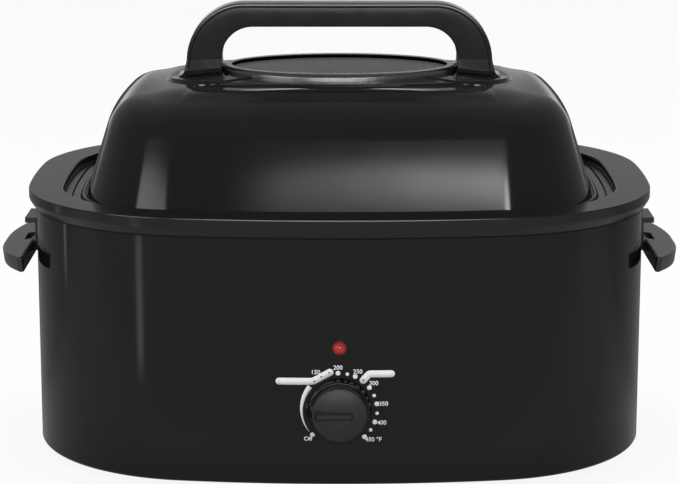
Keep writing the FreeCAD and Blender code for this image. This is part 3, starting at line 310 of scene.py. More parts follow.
class Value:
    """A shader socket that takes part in plain expressions; each operation adds a Math node."""

    def __init__(self, nodes, socket):
        self.nodes = nodes
        self.socket = socket

    def math(self, operation, other, reverse=False):
        """A Math node of this value and another, or of the other one first."""
        pair = (other, self) if reverse else (self, other)
        return self.nodes.node("Math", dict(enumerate(pair)), operation=operation)

    __add__ = __radd__ = partialmethod(math, "ADD")
    __sub__, __rsub__ = partialmethod(math, "SUBTRACT"), partialmethod(math, "SUBTRACT", reverse=True)
    __mul__ = __rmul__ = partialmethod(math, "MULTIPLY")
    __truediv__ = partialmethod(math, "DIVIDE")
    __lt__, __gt__ = partialmethod(math, "LESS_THAN"), partialmethod(math, "GREATER_THAN")


class Nodes:
    """A node tree, with the coordinates that its textures follow."""

    def __init__(self, tree, coordinates="Object"):
        self.tree = tree
        self.place = self.node("TexCoord", out=coordinates)

    def node(self, kind, sockets=None, out=0, **settings):
        """Add a node: its settings first, then the values or links of its sockets."""
        made = self.tree.nodes.new("ShaderNode" + kind)
        for name, value in settings.items():
            setattr(made, name, value)
        for name, value in (sockets or {}).items():
            self.feed(made.inputs[name], value)
        return Value(self, made.outputs[out])

    def feed(self, socket, value):
        """Link a value to a socket, or set the socket's own number or colour."""
        if isinstance(value, Value):
            self.tree.links.new(value.socket, socket)
        elif socket.type == "RGBA":
            socket.default_value = (*value, 1.0)
        else:
            socket.default_value = value

    def axis(self, index):
        """One coordinate of the place."""
        return self.node("SeparateXYZ", {0: self.place}, index)

    def ray(self, kind):
        """1 for a ray of some kind, and 0 for any other."""
        return self.node("LightPath", out=f"Is {kind} Ray")

    def rise(self, value, start, end, height=1.0):
        """A smooth rise from 0 to a height, while a value goes from start to end."""
        sockets = {0: value, 1: start, 2: end, 4: height}
        return self.node("MapRange", sockets, interpolation_type="SMOOTHSTEP")

    def ramp(self, value, stops):
        """A grey that follows stops, each a value from 0 to 1 and the level there."""
        made = self.node("ValToRGB", {0: value})
        elements = made.socket.node.color_ramp.elements
        elements[0].position, elements[1].position = stops[0][0], stops[-1][0]
        for position, _ in stops[1:-1]:
            elements.new(position)
        for element, (_, level) in zip(elements, stops):
            element.color = (level, level, level, 1.0)
        return made


class Finish(Nodes):
    """A material, with its shader and the nodes that feed it."""

    def __init__(self, name, coordinates="Object", **settings):
        self.material = bpy.data.materials.new(name)
        self.material.use_nodes = True
        super().__init__(self.material.node_tree, coordinates)
        self.shader = self.tree.nodes["Principled BSDF"]
        self.set(**settings)

    def set(self, **settings):
        """Set the shader's sockets, named with underscores for spaces."""
        for name, value in settings.items():
            self.feed(self.shader.inputs[name.replace("_", " ")], value)

    def noise(self, size, detail=2.0, stretch=None):
        """Noise whose features are about size metres across, from 0 to 1."""
        place = self.place
        if stretch is not None:
            place = self.node("Mapping", {"Vector": place, "Scale": stretch})
        return self.node("TexNoise", {"Vector": place, "Scale": 1.0 / size, "Detail": detail})

    def cells(self, size):
        """Distance to the nearest of scattered points about size metres apart."""
        return self.node("TexVoronoi", {"Vector": self.place, "Scale": 1.0 / size})

    def painted_shade_mask(self):
        """The shade attribute of a piece: 1 where painted shade is drawn, dark as in a gap."""
        return self.node("Attribute", out=2, attribute_name="shade")

    def mix(self, factor, first, second):
        """A colour between two colours."""
        return self.node("Mix", {0: factor, 6: first, 7: second}, out=2, data_type="RGBA")

    def mottle(self, factor, colour, darkest):
        """A colour that falls to a share of itself where the factor is 0."""
        return self.mix(factor, tuple(darkest * channel for channel in colour), colour)

    def dress(self, colour, roughness, height, depth, strength=1.0):
        """Set colour and roughness, and raise the surface by height, from 0 to 1, times depth."""
        normal = self.node("Bump", {"Height": height, "Distance": depth, "Strength": strength})
        self.set(Base_Color=colour, Roughness=roughness, Normal=normal)
        return self.material

    def glow_over(self, share, under, colour, strength):
        """Show a share of a glow over another shader."""
        glow = self.node("Emission", {"Color": colour, "Strength": strength})
        blend = self.node("MixShader", {0: share, 1: under, 2: glow})
        self.feed(self.tree.nodes["Material Output"].inputs["Surface"], blend)


def enamel(name, tone=1.0):
    """Gloss black enamel: a faint orange peel, a film of polish that varies, and duller grazed edges."""
    finish = Finish(name, Specular_IOR_Level=0.25)
    facing = finish.node("LayerWeight", {"Blend": 0.5}, out=1)
    return finish.dress(
        finish.mix(finish.noise(60 * MM, 3), (0.0060 * tone,) * 3, (0.0078 * tone,) * 3),
        0.075 + 0.03 * finish.noise(25 * MM, 4) + finish.rise(facing, 0.90, 0.97, 0.8),
        finish.noise(2.5 * MM, 1), 0.004 * MM, 0.5,
    )


def satin(name, colour, roughness, grain, depth, specular=0.4, seam=None):
    """Moulded black plastic: a fine grain, with slow changes of tone and sheen.

    With a seam, it is painted near-black and dull below the seam's height and where the shade attribute is
    set: painted shade, as the shadow in a gap.
    """
    finish = Finish(name, Specular_IOR_Level=specular)
    tone = finish.mottle(finish.noise(35 * MM, 3), colour, 0.8)
    sheen = roughness - 0.04 + 0.08 * finish.noise(12 * MM, 3)
    if seam is not None:
        # Painted shade: near-black and dull below the seam and on the marked rings, as the shadow in a gap.
        painted_shade = ((finish.axis(2) < seam) + finish.painted_shade_mask()).math("MINIMUM", 1.0)
        tone = finish.mix(painted_shade, tone, PAINTED_GAP_SHADE)
        sheen = sheen + 0.8 * painted_shade
    return finish.dress(tone, sheen, finish.noise(grain, 2), depth)


def gunmetal(name):
    """Dark satin metal with fine drawn lines; inside its ellipse the inner edge is painted near-black and
    dull as shade.
    """
    finish = Finish(name, Metallic=1.0)
    lines = finish.noise(0.5 * MM, 2, (0.15, 1.0, 1.0))
    # Painted shade: the bezel's inner wall, inside the hole's ellipse, is drawn near-black.
    across, deep = finish.axis(0) / HOLE_X, finish.axis(1) / HOLE_Y
    inside = (across * across + deep * deep) < 1.002
    tone = finish.mix(lines, (0.12, 0.125, 0.13), (0.17, 0.175, 0.185))
    return finish.dress(
        finish.mix(inside, tone, (0.006, 0.006, 0.006)),
        0.24 + 0.08 * finish.noise(8 * MM, 3) + 0.4 * inside,
        lines, 0.01 * MM, 0.3,
    )


def sheet_steel(name, colour, roughness=0.35):
    """Bare or plated sheet steel: drawn lines along X, and faint clouds."""
    finish = Finish(name, Metallic=1.0)
    drawn = finish.noise(0.4 * MM, 3, (0.05, 1.0, 1.0))
    cloud = finish.noise(20 * MM, 4)
    tone = finish.mottle(0.5 * drawn + 0.5 * cloud, colour, 0.78)
    return finish.dress(tone, roughness - 0.08 + 0.16 * cloud, drawn, 0.01 * MM, 0.4)


def speckled_enamel(name):
    """Dark pan enamel with fine pale specks; painted shade, near-black and dull, where the shade attribute is
    set.
    """
    finish = Finish(name, Specular_IOR_Level=0.4)
    dots = (finish.cells(3.2 * MM) < 0.13) * (finish.noise(9 * MM) > 0.47)
    # Painted shade where the shade attribute is set: the groove under the lid's bead, drawn dark as its
    # shadow.
    painted_shade = finish.painted_shade_mask()
    tone = finish.mix(dots, (0.008, 0.008, 0.009), (0.35, 0.36, 0.38))
    return finish.dress(
        finish.mix(painted_shade, tone, PAINTED_GAP_SHADE),
        0.14 + 0.06 * finish.noise(18 * MM, 3) + 0.75 * painted_shade,
        finish.noise(2.0 * MM, 1), 0.008 * MM, 0.5,
    )


def moulding(name, colour, roughness):
    """Small internal mouldings and ceramics: slight mottling and a fine grain."""
    finish = Finish(name, Specular_IOR_Level=0.5)
    mottle = finish.noise(4 * MM, 4)
    tone = finish.mottle(mottle, colour, 0.82)
    return finish.dress(tone, roughness - 0.05 + 0.1 * mottle, finish.noise(0.6 * MM, 2), 0.02 * MM)


def rubber(name, colour):
    """Matte rubber with a fine moulded grain."""
    finish = Finish(name, Specular_IOR_Level=0.3)
    tone = finish.mottle(finish.noise(10 * MM, 3), colour, 0.8)
    return finish.dress(tone, 0.62 + 0.12 * finish.noise(6 * MM), finish.noise(0.5 * MM, 3), 0.03 * MM)


def fibre(name):
    """Matted glass-fibre felt."""
    finish = Finish(name, Specular_IOR_Level=0.1)
    strands = finish.noise(1.6 * MM, 5, (0.3, 1.0, 1.0))
    tone = finish.mix(strands, (0.52, 0.49, 0.42), (0.80, 0.78, 0.70))
    return finish.dress(tone, 0.9 + 0.05 * strands, strands, 0.4 * MM)


def clear_glass(name):
    """The window: clear, slightly grey, with a few faint smears."""
    finish = Finish(name, Transmission_Weight=1.0, IOR=1.08, Specular_IOR_Level=0.4)
    finish.set(
        Base_Color=finish.mix(finish.noise(50 * MM, 3), (0.24, 0.245, 0.25), (0.30, 0.305, 0.31)),
        Roughness=0.02 + 0.04 * finish.noise(30 * MM, 4),
    )
    return finish.material


def red_lens(name):
    """The pilot lens, lit from behind: a fine pattern under a clear red skin, and a flange painted dark as
    the shadow round the lens.
    """
    finish = Finish(name, Specular_IOR_Level=0.5, Emission_Strength=0.12)
    ribs = finish.cells(1.1 * MM)
    across, up = finish.axis(0), finish.axis(2) - LAMP_HEIGHT
    # Painted shadow: outside the lens's edge the flange is drawn near-black, in colour and in glow.
    flange = (across * across + up * up) > LENS_EDGE ** 2
    dark = (0.012, 0.003, 0.003)
    skin = finish.mix(ribs, (0.40, 0.022, 0.026), (0.26, 0.010, 0.014))
    light = finish.mix(ribs, (0.75, 0.05, 0.06), (0.42, 0.015, 0.025))
    finish.set(
        Base_Color=finish.mix(flange, skin, dark),
        Emission_Color=finish.mix(flange, light, dark),
        Roughness=0.12 + 0.08 * ribs,
    )
    return finish.material


def print_ink(name):
    """Screen-printed white ink, a little uneven."""
    finish = Finish(name, Specular_IOR_Level=0.3)
    film = finish.noise(3 * MM, 3)
    tone = finish.mix(film, (0.90, 0.90, 0.90), (0.97, 0.97, 0.97))
    return finish.dress(tone, 0.45 + 0.1 * film, finish.noise(0.35 * MM, 2), 0.006 * MM)


SLOT_FINISH = {
    "casing_enamel": enamel("casing_enamel"),
    "lid_enamel": enamel("lid_enamel", 1.25),
    # The collar's foot, below the seam height, gets painted shade: the shadow line where it meets the casing.
    "collar_black": satin("collar_satin", (0.0095, 0.0095, 0.0098), 0.17, 0.45 * MM, 0.004 * MM, 0.33,
                          seam=collar_low[2] + 1.5 * MM),
    "handle_black": satin("bracket_satin", (0.015, 0.015, 0.0155), 0.26, 0.4 * MM, 0.006 * MM, 0.5),
    "knob_black": satin("knob_matte", (0.016, 0.016, 0.0165), 0.42, 0.3 * MM, 0.02 * MM),
    "base_black": enamel("base_enamel"),
    "pan_enamel": speckled_enamel("pan_enamel"),
    "well_steel": sheet_steel("well_steel", (0.55, 0.55, 0.54)),
    "rack_chrome": sheet_steel("rack_chrome", (0.78, 0.78, 0.79), 0.16),
    "screw_steel": sheet_steel("zinc_plate", (0.60, 0.60, 0.59), 0.30),
    "element_steel": sheet_steel("element_steel", (0.42, 0.38, 0.34), 0.42),
    "bezel_metal": gunmetal("bezel_gunmetal"),
    "window_pane": clear_glass("window_pane"),
    "seal_rubber": rubber("seal_rubber", (0.045, 0.045, 0.047)),
    "foot_rubber": rubber("foot_rubber", (0.022, 0.022, 0.023)),
    "lead_sleeve": rubber("lead_sleeve", (0.72, 0.72, 0.68)),
    "pilot_red": red_lens("pilot_red"),
    "blanket_fibre": fibre("blanket_fibre"),
    "ceramic": moulding("white_ceramic", (0.82, 0.80, 0.75), 0.25),
    "thermostat_case": moulding("brown_phenolic", (0.22, 0.16, 0.10), 0.45),
}
handle_finish = satin("handle_satin", (0.0055, 0.0055, 0.0058), 0.15, 0.4 * MM, 0.003 * MM, 0.3)
skirt_finish = satin("knob_gloss", (0.005, 0.005, 0.0053), 0.10, 1.5 * MM, 0.003 * MM, 0.3)
ink_finish = print_ink("white_ink")

for part in frame["record"]["subparts"]:
    node_mesh = frame["nodes"][part["node"]].data
    node_mesh.materials.clear()
    node_mesh.materials.append(SLOT_FINISH[part["material_slot"]])


# ---- casing, base and collar

WALL = 0.9 * MM
CASING_RIM = 0.6 * MM
BASE_EDGE, BASE_SHEET, BASE_REACH = mm(3.95, 1, 60)
SEAM_BELOW, SEAM_DEEP = mm(1.1, 0.5)


def make_casing():
    """The painted wrapper: a thin upright wall, closed over at both rims."""
    low, high = casing_low[2], casing_high[2]
    rows = casing_plan.rows([
        (0, low), (0, low + CASING_RIM), (0, high - CASING_RIM), (0, high), (-WALL, high), (-WALL, low),
    ])
    piece("casing_shell", "casing", "casing_enamel", [looped(rows)], ["outer_casing"])


def make_base():
    """The pressed bottom: a flat floor, a rounded outer edge and a lip up inside the casing."""
    floor, seam, lip_top = base_low[2], casing_low[2], base_high[2]
    inside = floor + BASE_SHEET
    rows = casing_plan.rows(rounded_path([
        (-BASE_REACH, floor), (0, floor, BASE_EDGE), (0, seam - SEAM_BELOW),
        (-SEAM_DEEP, seam - SEAM_DEEP), (-SEAM_DEEP, seam), (-WALL, seam), (-WALL, lip_top),
        (-WALL - BASE_SHEET, lip_top), (-WALL - BASE_SHEET, inside), (-BASE_REACH, inside),
    ]))
    piece("base_pan", "casing", "base_black", [capped(rows)], ["base_plate"])


def make_collar():
    """The ring round the top: overhanging rim, flat land, opening wall and ledge, closed beneath.

    Two rings of the opening's wall and the inner part of the ledge get painted shade, dark as the gap to the
    pan is.
    """
    foot, top = collar_low[2], collar_high[2]
    foot_out, rim, slant = mm(0.7, 6, 8.4)
    wall, edge = mm(2.5, 3.5)
    ledge_z, under_z = top - 6.3 * MM, top - 7.6 * MM
    lip, bevel = mm(1.0, 0.9)
    outer = casing_plan.rows(rounded_path([
        (foot_out, foot), (rim, foot + slant, edge), (rim, top - bevel, 0.5 * MM),
        (rim - 0.21 * bevel, top, 0.3 * MM), (rim - 2 * edge, top),
    ], hold=0.15 * MM))
    opening = opening_plan.rows(np.concatenate([
        rounded_path([(4 * lip, top), (0, top, lip), (0, top - 1.4 * MM)]),
        [(0, top - 1.5 * MM), (0, top - 3.6 * MM), (0, top - 4.0 * MM), (0, ledge_z)],
    ]))
    shelf = ledge_plan.rows([
        (0.8 * lip, ledge_z), (0.7 * lip, ledge_z), (0.15 * lip, ledge_z),
        (0, ledge_z - 0.15 * lip), (0, under_z),
    ])
    under = opening_plan.rows([(wall, under_z), (wall, top - wall)])
    hollow = casing_plan.rows([(rim - wall, top - wall), (rim - wall, foot + slant), (foot_out - wall, foot)])
    rows = np.concatenate([outer, opening, shelf, under, hollow])
    made = piece("collar_ring", "casing", "collar_black", [looped(rows)], ["collar"])
    ledge = len(outer) + len(opening)
    # Painted shade on two rings of the opening's wall and on the ledge's inner part.
    paint_gap_shade(made, [ledge - 3, ledge - 2, *range(ledge + 1, ledge + len(shelf))])


# ---- pan and well

# The groove in the pan's flange: how far each ring stands outside the dome's plan at the ends, and
# how deep it lies. At the front the rings stand out by a share of that.
GROOVE_RINGS = ((4.9 * MM, 0), (4.8 * MM, 0), (4.1 * MM, 0.5 * MM), (3.4 * MM, 0), (3.3 * MM, 0))
GROOVE_AT_FRONT = 0.55
RIM_GAP = 0.9 * MM
PAN_SHEET, PAN_DRAFT, PAN_FLOOR_ROUND, PAN_TOP_ROUND = mm(1.1, 6, 18, 3)
WELL_SHEET, WELL_WALL, WELL_ROUND = mm(0.9, 2.4, 20)
WELL_FLANGE = 12.5 * MM


def make_pan():
    """The drawn tub: flange, wall with a draft, and floor, each side of one sheet."""
    floor, top = pan_low[2], pan_high[2]
    sheet, flange = PAN_SHEET, top - PAN_SHEET
    wall_top = -5 * MM
    bottom = wall_top - PAN_DRAFT
    reach = bottom - 22 * MM
    rim_plan = plan_between(LAND_ENDS + LEDGE_ENDS + RIM_GAP, LAND_FRONT + LEDGE_FRONT + RIM_GAP)
    outside = dome_plan.rows(rounded_path([
        (reach, floor), (bottom, floor, PAN_FLOOR_ROUND), (wall_top, flange, PAN_TOP_ROUND), (0, flange),
    ]))
    edge = rim_plan.rows(rounded_path([
        (-1 * MM, flange), (0, flange, 0.4 * MM), (0, top, 0.4 * MM), (-1 * MM, top),
    ]))
    groove = np.concatenate([
        plan_between(FOOT_ENDS - out, FOOT_FRONT - GROOVE_AT_FRONT * out).rows([(0, top - deep)])
        for out, deep in GROOVE_RINGS
    ])
    inside = dome_plan.rows(rounded_path([
        (0, top), (wall_top - sheet, top, PAN_TOP_ROUND + sheet),
        (bottom - sheet, floor + sheet, PAN_FLOOR_ROUND - sheet), (reach, floor + sheet),
    ]))
    rows = np.concatenate([outside, edge, groove, inside])
    made = piece("pan_tub", "pan", "pan_enamel", [capped(rows)], ["roasting_pan"])
    first = len(outside) + len(edge)
    # Painted shade along the groove's inner rings, as the dark line at the foot of the lid's bead.
    paint_gap_shade(made, range(first + 1, first + len(groove) - 1))


def make_well():
    """The steel liner round the pan: floor, upright wall and the flange that carries the pan."""
    seat, floor = well_high[2], well_low[2]
    sheet, wall = WELL_SHEET, WELL_WALL
    reach = wall - 24 * MM
    outside = dome_plan.rows(rounded_path([
        (reach, floor), (wall, floor, WELL_ROUND), (wall, seat - sheet),
    ]))
    flange = opening_plan.rows([(WELL_FLANGE, seat - sheet), (WELL_FLANGE, seat)])
    inside = dome_plan.rows(rounded_path([
        (wall - sheet, seat), (wall - sheet, floor + sheet, WELL_ROUND - sheet), (reach, floor + sheet),
    ]))
    rows = np.concatenate([outside, flange, inside])
    piece("well_liner", "casing", "well_steel", [capped(rows)], ["heating_well"])


# ---- lid

LID_BASE = lid_low[2]
SHEET = 1.1 * MM
PLATFORM_X, PLATFORM_Y, PLATFORM_RISE = mm(148, 88, 2.2)
LEAN, SLOPE = math.radians(17.5), math.radians(16.6)
SHOULDER_HEIGHT, SHOULDER_ROUND = mm(81.8, 43.9)
CROWN_HEIGHT, CROWN_ROUND, CROWN_RUN = mm(94.9, 110, 127)
CROWN_SPREAD, SPREAD_WIDTH, SPREAD_MOST = 7.3 * MM, 72 * MM, 1.8
SAG = 3.8 * MM
FOOT_IN = SHEET * math.tan(LEAN)
WALL_REACH = 45 * MM
BROW_ROUND, BROW_FOOT = mm(1.2, 0.8)
BEAD, BEAD_OUT, BEAD_CURL = mm(2.6, 3.2, 0.87)
LAND_SHARES = (0.03, 0.1, 0.2, 0.32, 0.45, 0.6, 0.8, 1.0)


def dome_profile():
    """The dome's section from its foot to the flat crown: lean, shoulder, slope and crown."""
    shoulder_in = SHOULDER_HEIGHT * math.tan(LEAN)
    crown_in = shoulder_in + (CROWN_HEIGHT - SHOULDER_HEIGHT) / math.tan(SLOPE)
    return rounded_path([
        (-FOOT_IN, LID_BASE + SHEET),
        (-shoulder_in, LID_BASE + SHOULDER_HEIGHT, SHOULDER_ROUND),
        (-crown_in, LID_BASE + CROWN_HEIGHT, CROWN_ROUND),
        (-CROWN_RUN, LID_BASE + CROWN_HEIGHT),
    ], step=0.05)


def platform_reach():
    """For each point of the lid's plan, the offset at which its normal meets the platform's ellipse.

    centre + t * direction meets the ellipse where a quadratic in t is zero.
    """
    cx, cy = dome_plan.centre.T
    ux, uy = dome_plan.out.T
    a = (ux / PLATFORM_X) ** 2 + (uy / PLATFORM_Y) ** 2
    b = 2 * (cx * ux / PLATFORM_X ** 2 + cy * uy / PLATFORM_Y ** 2)
    c = (cx / PLATFORM_X) ** 2 + (cy / PLATFORM_Y) ** 2 - 1
    t = (-b + np.sqrt(b ** 2 - 4 * a * c)) / (2 * a)
    return t - dome_plan.radius


def sagged(rows):
    """The lid's crown falls away from its middle towards its ends, and the handle's feet with it.

    The fall grows with the square of x and fades again at the shoulder. It leaves the window's
    ellipse flat, and holds only for a band of heights round the crown.
    """
    x, y, z = rows[..., 0], rows[..., 1], rows[..., 2]
    fade = 1 - smooth((np.abs(x) - PLATFORM_X) / (36 * MM))
    fall = SAG * (x / PLATFORM_X) ** 2 * fade
    beyond_window = smooth((np.hypot(x / (100 * MM), y / (72 * MM)) - 1) / 0.3)
    over = z - LID_BASE - CROWN_HEIGHT
    held = smooth((over + 27 * MM) / (24 * MM)) * (1 - smooth((over - 3 * MM) / (14 * MM)))
    return np.stack([x, y, z - fall * held * beyond_window], -1)


def make_lid():
    """The domed lid: flange with its bead, wall, shoulder, crown, raised platform and window hole.

    The crown's bend stands further out with the square of the distance from the lid's middle. The
    platform's edge is a small bend at its foot and a rounding, the brow, at its top.
    """
    top = LID_BASE + CROWN_HEIGHT + PLATFORM_RISE
    profile = dome_profile()
    inset, height = -profile[:, 0], profile[:, 1]
    wall = profile[inset < WALL_REACH]
    last_offset = wall[-1, 0]
    edge_offset = platform_reach()
    side = np.abs(dome_plan.centre[:, 0] + dome_plan.radius * dome_plan.out[:, 0])
    spread = CROWN_SPREAD * np.minimum((side / SPREAD_WIDTH) ** 2, SPREAD_MOST)
    spread = spread * (1 - smooth((side - 118 * MM) / (30 * MM)))
    crown = [
        (offset, np.interp(spread * smooth((-offset - WALL_REACH) / (20 * MM)) - offset, inset, height))
        for offset in last_offset + (edge_offset + BROW_ROUND - last_offset) * np.linspace(0, 1, 22)[1:, None]
    ]
    foot_height = np.interp(-edge_offset, inset, height)
    brow_top = np.minimum(foot_height + PLATFORM_RISE, top)
    step = [(edge_offset + BROW_ROUND * b, foot_height + BROW_FOOT * a) for a, b in rounding(6)[1:4]]
    brow = [(edge_offset - BROW_ROUND * a, brow_top - BROW_ROUND * b) for a, b in rounding(6)]
    outer = dome_plan.rows([*wall, *crown, *step, *brow])
    rim = outer[-1]
    around = np.arctan2(rim[:, 1] / PLATFORM_Y, rim[:, 0] / PLATFORM_X)
    hole = np.stack([HOLE_X * np.cos(around), HOLE_Y * np.sin(around), np.full(len(around), top)], 1)
    shares = np.array(LAND_SHARES)[:, None, None]
    land = rim + (hole - rim) * shares
    land[..., 2:] = rim[:, 2:] + (top - rim[:, 2:]) * (1 - (1 - shares) ** 2)
    outer = sagged(np.concatenate([outer, land]))
    along = np.gradient(outer, axis=0)
    across = np.roll(outer, -1, 1) - np.roll(outer, 1, 1)
    normal = np.cross(across, along)
    inner = (outer - SHEET * normal / np.linalg.norm(normal, axis=2)[..., None])[::-1]
    inner[0] = outer[-1] - (0, 0, SHEET)
    flange = dome_plan.rows(rounded_path([
        (-FOOT_IN - SHEET, LID_BASE), (BEAD_OUT, LID_BASE, BEAD_CURL),
        (BEAD_OUT, LID_BASE + BEAD, BEAD_CURL), (BEAD_OUT - BEAD, LID_BASE + BEAD, BEAD_CURL),
        (BEAD_OUT - BEAD, LID_BASE + SHEET), (0.1 * MM - FOOT_IN, LID_BASE + SHEET),
    ], step=0.25, hold=0.2 * MM))
    rows = np.concatenate([flange, outer, inner])
    piece("lid_dome", "lid", "lid_enamel", [looped(rows)], ["lid_shell"])


# ---- window

OPENING_X, OPENING_Y = mm(93, 61.5)
BEZEL_BEND, BEZEL_LIP, BEZEL_SEAT = mm(3.6, 1.5, 5.3)
INNER_ROUND, INNER_DROP = mm(0.4, 0.05)
PANE_CHAMFER, PANE_REACH = mm(0.4, 20)


def make_bezel():
    """The ring that holds the pane down: ellipses, whose section grows wider towards the sides."""
    low, high = bezel_low[2], bezel_high[2]
    outer = [(0, low)] + [(BEZEL_BEND * a, high - BEZEL_BEND * b) for a, b in rounding(12)]
    inner = [(0.9 * MM, high - INNER_DROP)]
    inner += [(INNER_ROUND * b, high - INNER_DROP - INNER_ROUND * a) for a, b in rounding(5)]
    inner += [(0, high - BEZEL_LIP), (BEZEL_SEAT, high - BEZEL_LIP), (BEZEL_SEAT, low)]
    rows = [(bezel_high[0] - inset, bezel_high[1] - inset, z) for inset, z in outer]
    rows += [(OPENING_X + out, OPENING_Y + out, z) for out, z in inner]
    piece("bezel_ring", "lid", "bezel_metal", [looped(ellipse_rows(rows))], ["window_bezel"])


def make_pane():
    """The pane: a flat ellipse with chamfered edges."""
    low, high = glass_low[2], glass_high[2]
    edge = PANE_CHAMFER
    section = (
        (PANE_REACH, low), (edge, low), (0, low + edge), (0, high - edge), (edge, high), (PANE_REACH, high),
    )
    rows = ellipse_rows([(glass_high[0] - inset, glass_high[1] - inset, z) for inset, z in section])
    piece("glass_pane", "lid", "window_pane", [capped(rows)], ["window_glass"])


# ---- lid handle

HANDLE_OUT, HANDLE_IN = mm(131.5, 101.5)
OUTER_BEND, INNER_BEND = mm(49.5, 27)
BAR_HIGH, BAR_DEEP = mm(20.2, 14)
BAR_OUTER_EDGE, BAR_INNER_EDGE = mm(0.9, 1.2)
BAR_CROWN = 0.12 * MM
FACET_HIGH, FACET_DEEP = mm(1.1, 0.13)
GROOVE_IN, GROOVE_WIDE, GROOVE_DEEP = mm(2.1, 2.0, 0.6)
FLARE_OUT, FLARE_IN, FLARE_DEEP = mm(7.5, 1.5, 4)
FLARE_HEIGHT, SKIRT_HEIGHT = mm(11, 5.5)


def bar_section():
    """A rounded rectangle as four arrays: share and shift along each of its two axes.

    A point lies at share * half size + shift. Each flat face is crowned a little, and has a groove a
    set way in from the outer edge and a facet that leans back to the rounding.
    """
    facet_end, groove_end = -BAR_OUTER_EDGE - FACET_HIGH, -GROOVE_IN - GROOVE_WIDE
    face = np.array((
        (1.0, -BAR_OUTER_EDGE - 0.1 * MM, -FACET_DEEP),
        (1.0, facet_end, 0.0), (1.0, facet_end - 0.15 * MM, 0.0), (1.0, -GROOVE_IN, 0.0),
        (1.0, -GROOVE_IN - 0.15 * MM, -GROOVE_DEEP), (1.0, -GROOVE_IN - 0.6 * GROOVE_WIDE, -GROOVE_DEEP),
        (1.0, groove_end, 0.0), (1.0, groove_end - 0.3 * MM, 0.1 * BAR_CROWN),
        (0.3, 0.0, 0.85 * BAR_CROWN), (0.0, 0.0, BAR_CROWN), (-0.5, 0.0, 0.75 * BAR_CROWN),
    ))
    parts = []
    for number, (sign_a, sign_b) in enumerate(((1, 1), (-1, 1), (-1, -1), (1, -1))):
        edge, set_back = (BAR_OUTER_EDGE, FACET_DEEP) if sign_a > 0 else (BAR_INNER_EDGE, 0.0)
        turn = np.linspace(0, QUARTER, 8) + number * QUARTER
        shift_a = edge * (np.cos(turn) - sign_a)
        shift_b = BAR_INNER_EDGE * (np.sin(turn) - sign_b) - sign_b * set_back
        parts.append(np.broadcast_arrays(sign_a, shift_a, sign_b, shift_b))
        if sign_a == sign_b:
            share, shift, out = face[::sign_b].T
            parts.append(np.broadcast_arrays(share, shift, sign_b, sign_b * out))
    return np.concatenate(parts, 1)


def make_handle():
    """The arched handle: a crowned bar between an outer and an inner outline, on flared feet."""
    low, top = handle_low[2], handle_high[2]
    quarter = np.linspace(0, QUARTER, 25)

    def outline(x, height, bend):
        """Leg, bend and half the bar of one outline, from the foot to the middle."""
        leg_top = height - bend
        leg = np.concatenate([np.linspace(0, FLARE_HEIGHT, 16), np.linspace(0.35, 1, 6) * (leg_top - low)])
        up = np.column_stack([np.full(len(leg), x), low + leg])
        arc = np.column_stack([x - bend * (1 - np.cos(quarter)), leg_top + bend * np.sin(quarter)])
        across = np.column_stack([np.linspace(x - bend, 0, 10), np.full(10, height)])
        return np.concatenate([up, arc[1:], across[1:]])

    def flare(height):
        """How far the foot has flared out, from 1 at its end to 0 at a height, as a quarter circle."""
        share = np.clip(1 - (outer[:, 1] - low) / height, 0, 1)
        return 1 - np.sqrt(1 - share ** 2)

    outer = outline(HANDLE_OUT, top, OUTER_BEND)
    inner = outline(HANDLE_IN, top - BAR_HIGH, INNER_BEND)
    outer[:, 0] += FLARE_OUT * flare(FLARE_HEIGHT)
    inner[:, 0] -= FLARE_IN * flare(FLARE_HEIGHT)
    half = np.column_stack([outer, inner, BAR_DEEP + FLARE_DEEP * flare(SKIRT_HEIGHT)])
    whole = np.concatenate([half, half[-2::-1] * (-1, 1, -1, 1, 1)])
    outer, inner, half_depth = whole[:, :2], whole[:, 2:4], whole[:, 4]
    across = outer - inner
    span = np.hypot(*across.T)[:, None]
    share_a, shift_a, share_b, shift_b = bar_section()
    along = share_a * span / 2 + shift_a
    deep = share_b * half_depth[:, None] + shift_b - np.sign(share_b) * 0.5 * MM
    flat = (outer + inner)[:, None, :] / 2 + along[..., None] * (across / span)[:, None, :]
    rows = sagged(np.stack([flat[..., 0], -deep, flat[..., 1]], -1))
    piece("handle_arch", "lid", "handle_black", [capped(rows)], ["lid_handle"], handle_finish)


# ---- knob and lamp

SKIRT, SKIRT_TOP, SKIRT_GAP, SKIRT_RISE = mm(26, 24.2, 1.2, 6.5)
CAP, CAP_EDGE, CAP_CROWN, CAP_BEND = mm(22.1, 16.6, 2.8, 1.6)
POINTER_IN, POINTER_OUT, POINTER_HALF = mm(-20, -27.6, 3.3)
RIDGE_LOW, RIDGE_HIGH = mm(15, 22)
RIDGE_AT_LOW = np.array((-21.3, 13.5, 6.4)) * MM
RIDGE_AT_HIGH = np.array((-18.0, 9.5, 1.6)) * MM
LENS, LENS_RISE, LENS_FLANGE, LENS_STEM = mm(5.4, 4.2, 1.0, 2.7)


